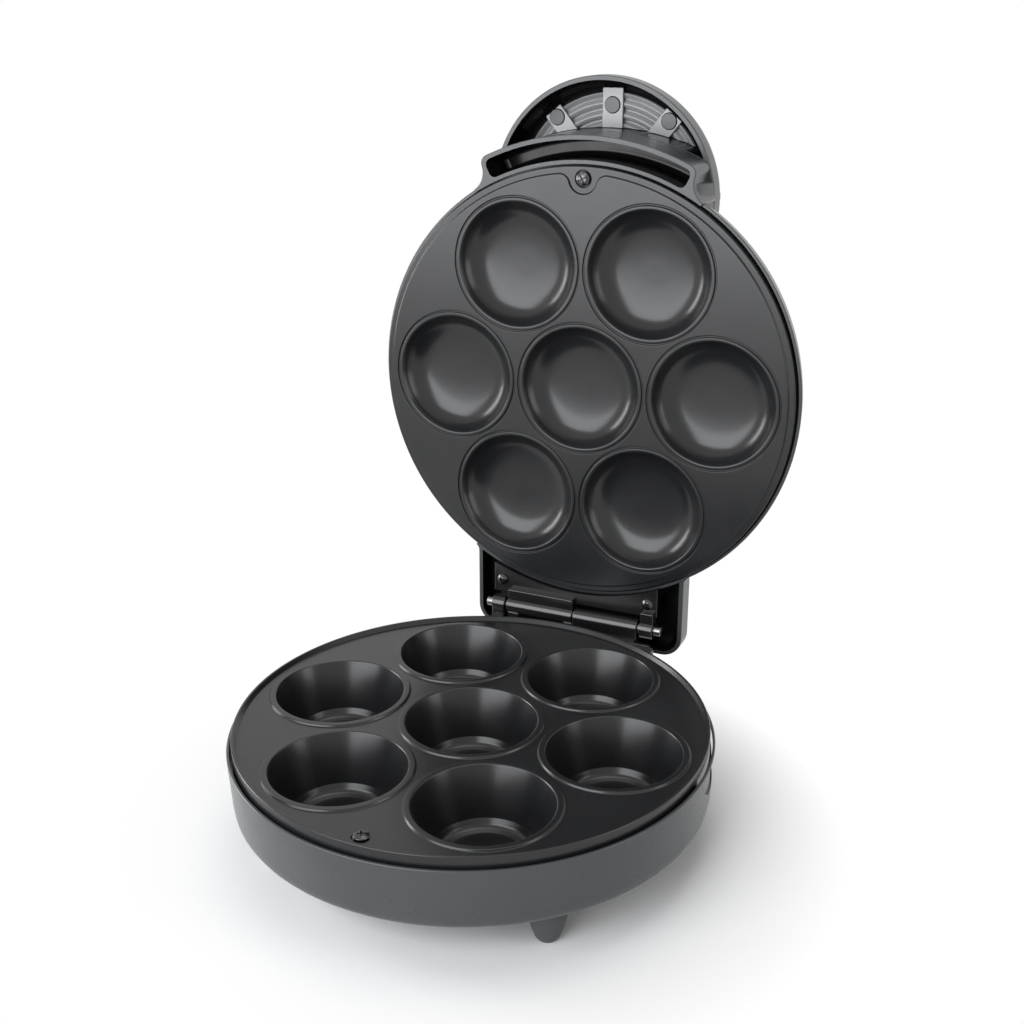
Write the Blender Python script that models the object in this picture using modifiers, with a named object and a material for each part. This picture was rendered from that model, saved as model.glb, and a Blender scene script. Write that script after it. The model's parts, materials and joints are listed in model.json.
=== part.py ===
"""Seven-cup cupcake maker: a round base and a domed lid on a barrel hinge, with the lid open.

Metres, +Z up. X runs along the hinge and the hinge is at the back, towards +Y.
Base pieces are drawn from a point on the table under the centre cup.
Lid pieces are drawn closed, from the centre of the upper plate's face, and turn with the hinge.
"""

import math

import bmesh
import bpy
from mathutils import Matrix, Vector

# Clearances and cut lengths
GAP = 0.0003
RUN_GAP = 0.0009
OVERRUN = 0.004
MERGE = 0.00001

# Facets round each turned shape
WIDE_STEPS = 36
SHIELD_STEPS = 20
CUP_STEPS = 14
SMALL_STEPS = 12
SCREW_STEPS = 8

# Radius of the lower plate, which the cups, the housings, the handle and the hinge follow
PLATE_RADIUS = 0.1062

# Cups, common to both plates
RING_CUPS = 6
CUP_CIRCLE_SHARE = 0.6403
CUP_CIRCLE = PLATE_RADIUS * CUP_CIRCLE_SHARE

# Lower plate
FACE_HEIGHT = 0.0515
LOWER_SHEET = 0.002
LOWER_RIM_WIDTH = 0.0029
LOWER_FIELD_RADIUS = PLATE_RADIUS - LOWER_RIM_WIDTH
LOWER_LIP_HEIGHT = 0.0018
LOWER_LIP_SLOPE = 0.0017
LOWER_EDGE_ROUND = 0.0004
LOWER_SKIRT_DEPTH = 0.0083
CUP_MOUTH_SHARE = 0.4368
CUP_MOUTH_RADIUS = CUP_CIRCLE * CUP_MOUTH_SHARE
CUP_FLOOR_SHARE = 0.7037
CUP_FLOOR_RADIUS = CUP_MOUTH_RADIUS * CUP_FLOOR_SHARE
CUP_DEPTH = 0.025
CUP_CORNER = 0.0042
CUP_CORNER_SHARES = ((0.35, 1.0), (-0.1, 0.3), (-1.0, 0.0))
BEAD_WIDTH = 0.0025
BEAD_HEIGHT = 0.0009
BEAD_SLOPE = 0.0007

# Upper plate
UPPER_SHEET = 0.0016
UPPER_OVERHANG = 0.0012
UPPER_SKIRT_RADIUS = PLATE_RADIUS + UPPER_OVERHANG
UPPER_FLANGE_WIDTH = 0.0028
UPPER_FIELD_RADIUS = UPPER_SKIRT_RADIUS - UPPER_FLANGE_WIDTH
UPPER_STEP = 0.001
UPPER_STEP_SLOPE = 0.0008
UPPER_SKIRT_DEPTH = 0.008
DIMPLE_SHARE = 0.4456
DIMPLE_RADIUS = CUP_CIRCLE * DIMPLE_SHARE
DIMPLE_DEPTH = 0.011
DIMPLE_PROFILE_SHARES = ((1.0, 0.0), (0.93, 0.27), (0.79, 0.76), (0.58, 1.0), (0.0, 1.0))
GROOVE_MARGIN = 0.0026
GROOVE_RADIUS = DIMPLE_RADIUS + GROOVE_MARGIN
GROOVE_WIDTH = 0.0014
GROOVE_DEPTH = 0.0008
NOTCH_RADIUS = 0.0072
NOTCH_DEPTH = 0.001
NOTCH_SIDE = math.radians(20)
NOTCH_FLARE_SHARE = 1.9
UPPER_SCREW_INSET = 0.003
UPPER_SCREW_RADIUS = UPPER_FIELD_RADIUS - UPPER_SCREW_INSET
LOWER_SCREW_INSET = 0.0048
LOWER_SCREW_RADIUS = LOWER_FIELD_RADIUS - LOWER_SCREW_INSET

# Lower housing, and its outline from the rim down to the middle of the underside
BASE_RIM_MARGIN = 0.0023
BASE_RIM_RADIUS = PLATE_RADIUS + BASE_RIM_MARGIN
BASE_RIM_DROP = 0.0032
BASE_CLEARANCE = 0.0105
BASE_WALL = 0.0024
BASE_RIM_LIP = 0.0012
BASE_LEDGE_WIDTH = 0.0038
LEDGE_THICKNESS = 0.0025
BASE_PROFILE_SHARES = (
    (1.0, 1.0),
    (0.989, 0.41),
    (0.985, 0.33),
    (0.973, 0.267),
    (0.949, 0.22),
    (0.839, 0.013),
    (0.8, 0.0),
    (0.0, 0.0),
)

# Finger recesses in the sides of the base
RECESS_ANGLE = math.radians(15)
RECESS_HALF_LENGTH = 0.0275
RECESS_HEIGHT = 0.0165
RECESS_DEPTH = 0.0013
RECESS_DROP = 0.0012

# Feet
FOOT_INSET = 0.0175
FOOT_CIRCLE = BASE_RIM_RADIUS - FOOT_INSET
FOOT_RADIUS = 0.0084
FOOT_TIP = 0.0032
FOOT_ANGLES = (-45, -135, 45, 135)
FOOT_SIDES = ("front_right", "front_left", "back_right", "back_left")
FOOT_PROFILE_SHARES = ((1.0, 1.9), (0.96, 1.1), (0.8, 0.55), (0.64, 0.2), (0.51, 0.05))

# Upper housing, and its outline from the middle of the dome down to the rim
LID_RIM_MARGIN = 0.0024
LID_RIM_RADIUS = UPPER_SKIRT_RADIUS + LID_RIM_MARGIN
LID_RIM_LIFT = 0.0045
LID_TOP = 0.0454
LID_WALL = 0.0022
LID_RIM_LIP = 0.0015
LID_LEDGE_WIDTH = 0.0038
LID_PROFILE_SHARES = (
    (0.0, 1.0),
    (0.3, 0.988),
    (0.53, 0.95),
    (0.73, 0.868),
    (0.86, 0.745),
    (0.93, 0.58),
    (0.96, 0.43),
    (0.985, 0.2),
    (1.0, 0.0),
)

# Handle pad over the front of the lid, hollow below
PAD_INSET = 0.0199
PAD_CENTRE = LID_RIM_RADIUS - PAD_INSET
PAD_RADIUS = 0.0571
PAD_WALL = 0.0022
PAD_TOP = 0.046
PAD_BOTTOM = 0.0245
PAD_PROFILE_SHARES = (
    (0.0, 1.0),
    (0.5, 0.985),
    (0.78, 0.93),
    (0.92, 0.82),
    (0.975, 0.635),
    (1.0, 0.4),
    (1.0, 0.0),
)

# Crescent pocket and the frame round it
POCKET_SETBACK = 0.0002
POCKET_WIDTH = 0.0093
POCKET_INNER = LID_RIM_RADIUS + POCKET_SETBACK
POCKET_OUTER = POCKET_INNER + POCKET_WIDTH
POCKET_TURN = math.radians(26.1)
POCKET_CORNER = 0.0031
POCKET_FLOOR = 0.024
POCKET_FLOOR_WALL = 0.0022
FRAME_WALL = 0.0022
FRAME_OUTER = POCKET_OUTER + FRAME_WALL
FRAME_TURN = math.radians(27.2)
FRAME_LIFT = 0.003
FRAME_CORNER = 0.004
FRAME_BLEND = 0.01

# Handle insert: tabs and ribs under the pad, held by three stakes
INSERT_OUTER = 0.0487
INSERT_INNER = 0.0322
INSERT_THICKNESS = 0.0012
RIB_REACHES = (0.048, 0.0433, 0.038, 0.0333)
RIB_HALF_WIDTHS = (0.0005, 0.0013, 0.0013, 0.0009)
CENTRE_TAB_WIDTH = 0.0106
CENTRE_TAB_REACH = 0.0507
SIDE_TAB_WIDTH = 0.0099
SIDE_TAB_REACH = 0.05
SIDE_TAB_TURN = math.radians(38.8)
TAB_THICKNESS = 0.0014
TAB_DROP = 0.0056
CENTRE_STAKE_REACH = 0.0426
SIDE_STAKE_REACH = 0.0461
STAKE_RADIUS = 0.0038
STAKE_PROUD = 0.0007

# Hinge
HINGE_OFFSET = 0.0111
HINGE_BACK = LID_RIM_RADIUS + HINGE_OFFSET
HINGE_DROP = 0.0005
CLOSED_GAP = 0.003
LID_OPEN = math.radians(90.9)
BARREL_RADIUS = 0.0046
PIN_RADIUS = 0.0025
PIN_REACH = 0.0484
BARREL_SPLIT = 0.001
BARREL_END = 0.0362
EAR_START = 0.0375
EAR_END = 0.0445

# Base hinge bracket
BLOCK_HALF_WIDTH = 0.048
BLOCK_BLEND = 0.013
BLOCK_SETBACK = 0.0086
BLOCK_BACK = HINGE_BACK - BLOCK_SETBACK
BLOCK_HEIGHT = 0.0185
BLOCK_DROP = 0.0055
BLOCK_ROUND = 0.0025
BASE_PLATE_THICKNESS = 0.0028
BASE_PLATE_INSET = 0.0015
WEB_DEPTH = 0.0034
WEB_STEP_DROP = 0.005
WEB_RISE = 0.0008
WEB_BACK = 0.0015
STOP_START = 0.005
STOP_END = 0.031
STOP_REACH = 0.0085
STOP_WIDTH = 0.0029
STOP_CLEARANCE = 0.0005
SHELF_THICKNESS = 0.002
BASE_HINGE_SCREW_X = 0.028
BASE_HINGE_SCREW_DROP = 0.011

# Hinge box of the lid
BOX_HALF_WIDTH = 0.057
BOX_OVERHANG = 0.0161
BOX_BACK = HINGE_BACK + BOX_OVERHANG
BOX_LIFT = 0.003
BOX_TOP = 0.0165
BOX_WALL = 0.0022
BOX_CORNER = 0.0105
BOX_BLEND = 0.0035
BOX_EDGE_ROUND = 0.004

# Lid hinge bracket: a flat leaf in front of the box, with webs to the barrel and the ear
LEAF_HALF_WIDTH = 0.0452
LEAF_THICKNESS = 0.0025
LEAF_INSET = 0.0012
LEAF_INNER = LID_RIM_RADIUS - LEAF_INSET
LEAF_SETBACK = 0.0064
LEAF_LOWER = HINGE_BACK - LEAF_SETBACK
LID_WEB_SETBACK = 0.0094
LID_WEB_TOP = HINGE_BACK - LID_WEB_SETBACK
LID_WEB_PROUD = 0.0035
LID_WEB_DEPTH = 0.012
LID_HINGE_SCREW_X = 0.0403
LID_HINGE_SCREW_SETBACK = 0.0134
LID_HINGE_SCREW_BACK = HINGE_BACK - LID_HINGE_SCREW_SETBACK

# Heat shields
SHIELD_SHEET = 0.001
SHIELD_INSET = 0.0031
SHIELD_FLANGE_RADIUS = PLATE_RADIUS - SHIELD_INSET
SHIELD_FLANGE_WIDTH = 0.0076
SHIELD_PAN_INSET = 0.0048
SHIELD_CLEARANCE = 0.003
LOWER_SHIELD_FLANGE_DEPTH = 0.0155
UPPER_SHIELD_FLANGE_RISE = 0.0098
SHIELD_SCREW_INSET = 0.0034
SHIELD_SCREW_CIRCLE = SHIELD_FLANGE_RADIUS - SHIELD_SCREW_INSET
SHIELD_SCREW_ANGLES = (30, 150, 210, 330)
SHIELD_SCREW_SIDES = ("back_right", "back_left", "front_left", "front_right")
BOSS_RADIUS = 0.0033
POST_RADIUS = 0.0039

# Heating elements, whose two leads bend away from the ring to another level
ELEMENT_RADIUS = 0.0033
PIN_SHARE = 0.4
LEAD_SPACING = 0.01
LOWER_LEAD_DEPTH = 0.019
UPPER_LEAD_RISE = 0.0172
LEAD_INSET = 0.0046
LEAD_END = SHIELD_FLANGE_RADIUS - LEAD_INSET
LEAD_PIN_LENGTH = 0.006
LEAD_SHOULDER = LEAD_END - LEAD_PIN_LENGTH
LEAD_BEND_SHARES = ((1.0, 5.12, 0.0), (1.0, 3.04, 0.08), (1.0, 1.68, 0.42), (1.06, 0.8, 0.82))
RING_GAP_SHARE = 2.1
RING_POINTS = 14

# Screws
SCREW_HEAD_RADIUS = 0.0029
SCREW_HEAD_HEIGHT = 0.0019
SCREW_SHANK_RADIUS = 0.0013
SCREW_LENGTH = 0.0075
SCREW_HEAD_SHARE = 0.7
PLATE_SCREW_HEAD_RADIUS = 0.0034
PLATE_SCREW_HEAD_HEIGHT = 0.0014

# Controls and wiring pieces inside
THERMOSTAT_CIRCLE_SHARE = 1.235
THERMOSTAT_CIRCLE = CUP_CIRCLE * THERMOSTAT_CIRCLE_SHARE
THERMOSTAT_ANGLE = math.radians(210)
THERMOSTAT_RADIUS = 0.0076
THERMOSTAT_BODY_SHARE = 0.86
THERMOSTAT_FLANGE = 0.0008
THERMOSTAT_CAP = 0.0035
THERMOSTAT_LENGTH = 0.0125
BLADE_WIDTH = 0.0048
BLADE_THICKNESS = 0.0008
BLADE_LENGTH = 0.006
BLADE_SPACING = 0.0076
FUSE_ANGLE = math.radians(330)
FUSE_RADIUS = 0.002
FUSE_LENGTH = 0.016
FUSE_LEAD = 0.009
FUSE_LEAD_SHARE = 0.3
GLAND_HEIGHT = 0.032
GLAND_MARGIN = 0.002
GLAND_FLANGE_RADIUS = 0.0075
GLAND_NECK_RADIUS = 0.0049
GLAND_BORE_RADIUS = 0.0034
GLAND_FLANGE_THICKNESS = 0.002
GLAND_NOSE = 0.0045
GLAND_TAIL = 0.0014
TERMINAL_LENGTH = 0.022
TERMINAL_WIDTH = 0.011
TERMINAL_HEIGHT = 0.0065
TERMINAL_INSET = 0.0285
TERMINAL_CIRCLE = BASE_RIM_RADIUS - TERMINAL_INSET
TERMINAL_ROUND = 0.0008

# Indicator lights on top of the pad
LIGHT_X = 0.01
LIGHT_REACH = 0.028
LENS_RADIUS = 0.0045
LENS_PROUD = 0.0019
LENS_PROFILE_SHARES = ((0.0, 1.0), (0.65, 0.85), (1.0, 0.25), (1.0, 0.0))
LENS_SHANK_RADIUS = 0.0035
LENS_SHANK_LENGTH = 0.012
LAMP_RADIUS = 0.0023
LAMP_LENGTH = 0.0088
LAMP_BORE_DEPTH = 0.008
LAMP_TIP_SHARES = ((0.0, 0.0), (0.7, 0.25), (1.0, 0.8))

# Places that follow from the sizes above
BASE_RIM_HEIGHT = FACE_HEIGHT - BASE_RIM_DROP
HINGE_HEIGHT = FACE_HEIGHT - HINGE_DROP
HINGE_RISE = -(CLOSED_GAP + HINGE_DROP)
BASE_LEDGE_HEIGHT = FACE_HEIGHT - LOWER_SKIRT_DEPTH - GAP
LID_LEDGE_RISE = UPPER_SKIRT_DEPTH + GAP
PIN_BORE = PIN_RADIUS + GAP
SCREW_BORE = SCREW_SHANK_RADIUS + GAP
LOWER_FLANGE_HEIGHT = FACE_HEIGHT - LOWER_SHIELD_FLANGE_DEPTH
FLOOR_HEIGHT = BASE_CLEARANCE + BASE_WALL
BOX_ROOF = BOX_TOP - BOX_WALL

# Colour, roughness and metallic value of each material
MATERIALS = {
    "housing": ((0.085, 0.09, 0.095), 0.42, 0.0),
    "nonstick": ((0.045, 0.046, 0.048), 0.38, 0.35),
    "bracket": ((0.02, 0.021, 0.022), 0.3, 0.0),
    "steel": ((0.55, 0.56, 0.57), 0.3, 1.0),
    "black_screw": ((0.03, 0.03, 0.03), 0.35, 0.8),
    "sheath": ((0.32, 0.31, 0.3), 0.45, 1.0),
    "shield": ((0.7, 0.71, 0.72), 0.4, 1.0),
    "rubber": ((0.05, 0.052, 0.053), 0.7, 0.0),
    "insert": ((0.2, 0.205, 0.21), 0.45, 0.0),
    "ceramic": ((0.75, 0.72, 0.66), 0.6, 0.0),
    "fuse": ((0.6, 0.5, 0.35), 0.5, 0.0),
    "red_lens": ((0.55, 0.03, 0.02), 0.15, 0.0),
    "green_lens": ((0.03, 0.4, 0.08), 0.15, 0.0),
    "lamp_glass": ((0.8, 0.45, 0.25), 0.1, 0.0),
}


# Scene and frames


def clear_scene():
    for obj in list(bpy.data.objects):
        bpy.data.objects.remove(obj)


def make_collection(name):
    collection = bpy.data.collections.new(name)
    bpy.context.scene.collection.children.link(collection)
    return collection


clear_scene()
PIECES = make_collection("cupcake_maker")
CUTTERS = make_collection("cutters")


def make_empty(name, parent, location, turn=0.0):
    empty = bpy.data.objects.new(name, None)
    PIECES.objects.link(empty)
    empty.parent = parent
    empty.location = location
    empty.rotation_euler.x = turn
    return empty


BASE_FRAME = make_empty("base_frame", None, (0, 0, 0))
LID_FRAME = make_empty("lid_hinge_axis", BASE_FRAME, (0, HINGE_BACK, HINGE_HEIGHT), -LID_OPEN)
BASE = (BASE_FRAME, Vector((0, 0, 0)))
LID = (LID_FRAME, Vector((0, -HINGE_BACK, -HINGE_RISE)))


def make_material(name):
    colour, roughness, metallic = MATERIALS[name]
    material = bpy.data.materials.new(name)
    material.use_nodes = True
    shader = material.node_tree.nodes["Principled BSDF"]
    shader.inputs["Base Color"].default_value = (*colour, 1.0)
    shader.inputs["Roughness"].default_value = roughness
    shader.inputs["Metallic"].default_value = metallic
    material.diffuse_color = (*colour, 1.0)
    return material


MADE = {name: make_material(name) for name in MATERIALS}


# Shapes


def link_object(name, data, half, at=(0, 0, 0), turn=(0, 0, 0)):
    """Put a new object in the cutters, placed in the frame of one half; node() turns it into a piece."""
    parent, origin = half
    obj = bpy.data.objects.new(name, data)
    CUTTERS.objects.link(obj)
    obj.parent = parent
    obj.location = origin + Vector(at)
    obj.rotation_euler = turn
    obj.hide_render = True
    obj.display_type = "WIRE"
    return obj


def bake(obj):
    """Replace the object's data by its evaluated mesh."""
    graph = bpy.context.evaluated_depsgraph_get()
    mesh = bpy.data.meshes.new_from_object(obj.evaluated_get(graph))
    if obj.type == "MESH":
        obj.modifiers.clear()
        obj.data = mesh
        return obj
    made = bpy.data.objects.new(obj.name, mesh)
    CUTTERS.objects.link(made)
    made.parent = obj.parent
    made.location = obj.location
    made.rotation_euler = obj.rotation_euler
    made.hide_render = True
    made.display_type = "WIRE"
    name = obj.name
    bpy.data.objects.remove(obj)
    made.name = name
    return made


def edit_mesh(obj, change):
    mesh = bmesh.new()
    mesh.from_mesh(obj.data)
    change(mesh)
    mesh.to_mesh(obj.data)
    mesh.free()
    return obj


def weld(mesh):
    """Join points that lie on each other."""
    bmesh.ops.remove_doubles(mesh, verts=mesh.verts, dist=MERGE)
    bmesh.ops.dissolve_degenerate(mesh, dist=MERGE, edges=mesh.edges)


def close_caps(mesh):
    """Weld a converted curve and join its cap triangles into single faces."""
    weld(mesh)
    bmesh.ops.dissolve_limit(mesh, angle_limit=math.radians(1), verts=mesh.verts, edges=mesh.edges)
    bmesh.ops.recalc_face_normals(mesh, faces=mesh.faces)


def turned(name, profile, half, steps, at=(0, 0, 0), turn=(0, 0, 0), ring=False):
    """Turn a profile of (radius, height) points, which runs down its outer side, about local Z."""
    count = len(profile)
    edges = [(i, i + 1) for i in range(count - 1)]
    if ring:
        edges.append((count - 1, 0))
    mesh = bpy.data.meshes.new(name)
    mesh.from_pydata([(radius, 0, height) for radius, height in profile], edges, [])
    obj = link_object(name, mesh, half, at, turn)
    screw = obj.modifiers.new("turn", "SCREW")
    screw.steps = steps
    screw.render_steps = steps
    screw.use_merge_vertices = True
    screw.merge_threshold = MERGE
    return bake(obj)


def slab(name, outline, bottom, top, half):
    """Extrude a flat outline from one height to another."""
    curve = bpy.data.curves.new(name, "CURVE")
    curve.dimensions = "2D"
    curve.fill_mode = "BOTH"
    curve.extrude = (top - bottom) / 2
    spline = curve.splines.new("POLY")
    spline.points.add(len(outline) - 1)
    for point, (x, y) in zip(spline.points, outline):
        point.co = (x, y, 0, 1)
    spline.use_cyclic_u = True
    obj = bake(link_object(name, curve, half, (0, 0, (bottom + top) / 2)))
    return edit_mesh(obj, close_caps)


def block(name, low, high, half, rounding=0.0, segments=2):
    """A box between two corners, with its edges rounded where a rounding is given."""
    size = Vector(high) - Vector(low)
    middle = (Vector(high) + Vector(low)) / 2
    mesh = bpy.data.meshes.new(name)
    obj = link_object(name, mesh, half, middle)

    def fill(shape):
        bmesh.ops.create_cube(shape, size=1.0, matrix=Matrix.Diagonal((*size, 1)))

    edit_mesh(obj, fill)
    if rounding:
        add_bevel(obj, min(rounding, min(size) / 3), segments)
    return obj


def add_bevel(obj, width, segments, weighted=False):
    bevel = obj.modifiers.new("round", "BEVEL")
    bevel.width = width
    bevel.segments = segments
    bevel.limit_method = "WEIGHT" if weighted else "ANGLE"
    return bake(obj)


def round_top(obj, width, segments):
    """Round the edges round the top face of a slab."""

    def weigh(mesh):
        layer = mesh.edges.layers.float.new("bevel_weight_edge")
        top = max(vert.co.z for vert in mesh.verts)
        for edge in mesh.edges:
            if all(abs(vert.co.z - top) < MERGE for vert in edge.verts):
                edge[layer] = 1.0

    edit_mesh(obj, weigh)
    return add_bevel(obj, width, segments, weighted=True)


def rod(name, radius, start, end, half, steps=SMALL_STEPS):
    """A cylinder between two points."""
    start = Vector(start)
    along = Vector(end) - start
    mesh = bpy.data.meshes.new(name)
    obj = link_object(name, mesh, half, start + along / 2)

    def fill(shape):
        bmesh.ops.create_cone(
            shape, cap_ends=True, segments=steps, radius1=radius, radius2=radius, depth=along.length
        )
        turn = Vector((0, 0, 1)).rotation_difference(along).to_matrix()
        bmesh.ops.rotate(shape, verts=shape.verts, matrix=turn)

    return edit_mesh(obj, fill)


def tube(name, route, radius, half, shares=None):
    """A round wire along a route, whose radius may change by a share at each point."""
    curve = bpy.data.curves.new(name, "CURVE")
    curve.dimensions = "3D"
    curve.bevel_depth = radius
    curve.bevel_resolution = 1
    curve.use_fill_caps = True
    spline = curve.splines.new("POLY")
    spline.points.add(len(route) - 1)
    for index, point in enumerate(spline.points):
        point.co = (*route[index], 1)
        point.radius = shares[index] if shares else 1.0
    obj = bake(link_object(name, curve, half))

    def close_ends(mesh):
        weld(mesh)
        bmesh.ops.recalc_face_normals(mesh, faces=mesh.faces)

    return edit_mesh(obj, close_ends)


def repeated(name, original, places):
    """One helper made of copies of another, moved to each place."""

    def copy_round(mesh):
        first = list(mesh.verts) + list(mesh.edges) + list(mesh.faces)
        for place in places[1:]:
            made = bmesh.ops.duplicate(mesh, geom=first)["geom"]
            moved = [item for item in made if isinstance(item, bmesh.types.BMVert)]
            bmesh.ops.translate(mesh, verts=moved, vec=Vector(place) - Vector(places[0]))

    original.name = name
    original.location += Vector(places[0])
    return edit_mesh(original, copy_round)


def boolean(obj, other, operation):
    modifier = obj.modifiers.new(operation.lower(), "BOOLEAN")
    modifier.operation = operation
    modifier.solver = "EXACT"
    modifier.object = other
    return edit_mesh(bake(obj), weld)


def cut(obj, *others):
    for other in others:
        boolean(obj, other, "DIFFERENCE")
    return obj


def fuse(obj, *others):
    for other in others:
        boolean(obj, other, "UNION")
    return obj


def common(obj, other):
    return boolean(obj, other, "INTERSECT")


def node(obj, name, material):
    """Make a finished helper into a piece of the model."""
    CUTTERS.objects.unlink(obj)
    PIECES.objects.link(obj)
    obj.name = name
    obj.data.name = name
    obj.hide_render = False
    obj.display_type = "TEXTURED"
    obj.data.materials.clear()
    obj.data.materials.append(MADE[material])
    obj.data.polygons.foreach_set("material_index", [0] * len(obj.data.polygons))
    obj.data.shade_smooth()
    obj.data.set_sharp_from_angle(angle=math.radians(35))
    return obj


# Outlines and places


def polar(radius, angle, height=None):
    """A point at an angle from +X, in the plane or at a height."""
    flat = (radius * math.cos(angle), radius * math.sin(angle))
    return flat if height is None else (*flat, height)


def front(radius, turn):
    """A point at an angle from the front, towards +X."""
    return (radius * math.sin(turn), -radius * math.cos(turn))


def arc(centre, radius, start, end, steps):
    """Points along an arc, with both ends."""
    points = []
    for i in range(steps + 1):
        x, y = polar(radius, start + (end - start) * i / steps)
        points.append((centre[0] + x, centre[1] + y))
    return points


def offset_line(points, distance):
    """A profile moved outwards along its normals, as a line that runs down its outer side."""
    moved = []
    normals = []
    for (r0, z0), (r1, z1) in zip(points, points[1:]):
        length = math.hypot(r1 - r0, z1 - z0)
        normals.append(((z0 - z1) / length, (r1 - r0) / length))
    for i, (radius, height) in enumerate(points):
        before = normals[max(i - 1, 0)]
        after = normals[min(i, len(normals) - 1)]
        x, z = before[0] + after[0], before[1] + after[1]
        scale = 2 * distance / (x * x + z * z)
        moved.append((max(radius + x * scale, 0.0), height + z * scale))
    if points[0][0] == 0.0:
        moved[0] = (0.0, moved[0][1])
    if points[-1][0] == 0.0:
        moved[-1] = (0.0, moved[-1][1])
    return moved


def cup_places(height=0.0):
    """The centre cup and the ring of cups round it."""
    ring = [polar(CUP_CIRCLE, 2 * math.pi * i / RING_CUPS, height) for i in range(RING_CUPS)]
    return [(0, 0, height), *ring]


def base_profile(growth=0.0):
    """The outside of the lower housing, from the rim down to the middle of the underside."""
    depth = BASE_RIM_HEIGHT - BASE_CLEARANCE
    line = [
        (radius * BASE_RIM_RADIUS, BASE_CLEARANCE + height * depth)
        for radius, height in BASE_PROFILE_SHARES
    ]
    return offset_line(line, growth) if growth else line


def lid_profile(growth=0.0):
    """The outside of the upper housing, from the top of the dome down to the rim."""
    depth = LID_TOP - LID_RIM_LIFT
    line = [
        (radius * LID_RIM_RADIUS, LID_RIM_LIFT + height * depth)
        for radius, height in LID_PROFILE_SHARES
    ]
    return offset_line(line, growth) if growth else line


def pad_profile(growth=0.0):
    """The outside of the handle pad, from its middle down to its lower edge."""
    depth = PAD_TOP - PAD_BOTTOM
    line = [
        (radius * PAD_RADIUS, PAD_BOTTOM + height * depth) for radius, height in PAD_PROFILE_SHARES
    ]
    return offset_line(line, growth) if growth else line


def pocket_outline():
    """The crescent pocket in plan, with a rounded corner at each end of its two walls."""
    down = -math.pi / 2
    side = down + POCKET_TURN + math.pi / 2
    reach = POCKET_OUTER - POCKET_CORNER
    turn = POCKET_TURN - math.asin(POCKET_CORNER / reach)
    points = arc((0, 0), POCKET_OUTER, down, down + turn, 7)
    points += arc(front(reach, turn), POCKET_CORNER, down + turn, side, 3)[1:]
    reach = POCKET_INNER + POCKET_CORNER
    turn = POCKET_TURN - math.asin(POCKET_CORNER / reach)
    points += arc(front(reach, turn), POCKET_CORNER, side, down + turn + math.pi, 3)
    points += arc((0, 0), POCKET_INNER, down + turn, down, 7)[1:]
    left = [(-x, y) for x, y in reversed(points[1:-1])]
    return points + left


def frame_half_outline():
    """The right half of the pocket's frame in plan: its front arc, its corner and its blend to the lid."""
    down = -math.pi / 2
    corner_reach = FRAME_OUTER - FRAME_CORNER
    corner_turn = FRAME_TURN - math.asin(FRAME_CORNER / corner_reach)
    corner = Vector(front(corner_reach, corner_turn))
    blend_reach = LID_RIM_RADIUS + FRAME_BLEND
    squares = corner_reach**2 + blend_reach**2 - (FRAME_CORNER + FRAME_BLEND) ** 2
    blend_turn = corner_turn + math.acos(squares / (2 * corner_reach * blend_reach))
    blend = Vector(front(blend_reach, blend_turn))
    across = blend - corner
    heading = math.atan2(across.y, across.x)
    points = arc((0, 0), FRAME_OUTER, down, down + corner_turn, 7)
    points += arc(corner, FRAME_CORNER, down + corner_turn, heading, 4)[1:]
    points += arc(blend, FRAME_BLEND, heading + math.pi, down + blend_turn + math.pi, 4)[1:]
    points.append(front(POCKET_INNER - LID_LEDGE_WIDTH - FRAME_BLEND, blend_turn))
    return points


def frame_outline():
    right = frame_half_outline()
    left = [(-x, y) for x, y in reversed(right[1:])]
    return right + left


def blended_outline(half_width, back, corner, blend, radius):
    """A square-backed outline in plan, whose sides end in a blend to a circle about the middle."""
    x = half_width + blend
    y = math.sqrt((radius + blend) ** 2 - x * x)
    turn = math.atan2(y, x)
    right = [polar(radius / 2, turn)]
    right += arc((x, y), blend, turn + math.pi, math.pi, 3)
    right += arc((half_width - corner, back - corner), corner, 0, math.pi / 2, 4)
    left = [(-x, y) for x, y in reversed(right)]
    return right + left


def box_outline(inset=0.0):
    """The hinge box in plan."""
    return blended_outline(
        BOX_HALF_WIDTH - inset, BOX_BACK - inset, BOX_CORNER - inset, BOX_BLEND + inset, LID_RIM_RADIUS - inset
    )


# Screws


def screw_shape(name, half, at, turn=(0, 0, 0), head=SCREW_HEAD_RADIUS, height=SCREW_HEAD_HEIGHT):
    """A pan-head screw whose head rests a small gap above its place, with its shank along local -Z."""
    top = GAP + height
    profile = [
        (0, top),
        (head * SCREW_HEAD_SHARE, top),
        (head, GAP),
        (SCREW_SHANK_RADIUS, GAP),
        (SCREW_SHANK_RADIUS, -SCREW_LENGTH),
        (0, -SCREW_LENGTH),
    ]
    return turned(name, profile, half, SCREW_STEPS, at, turn)


# Plates


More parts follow.
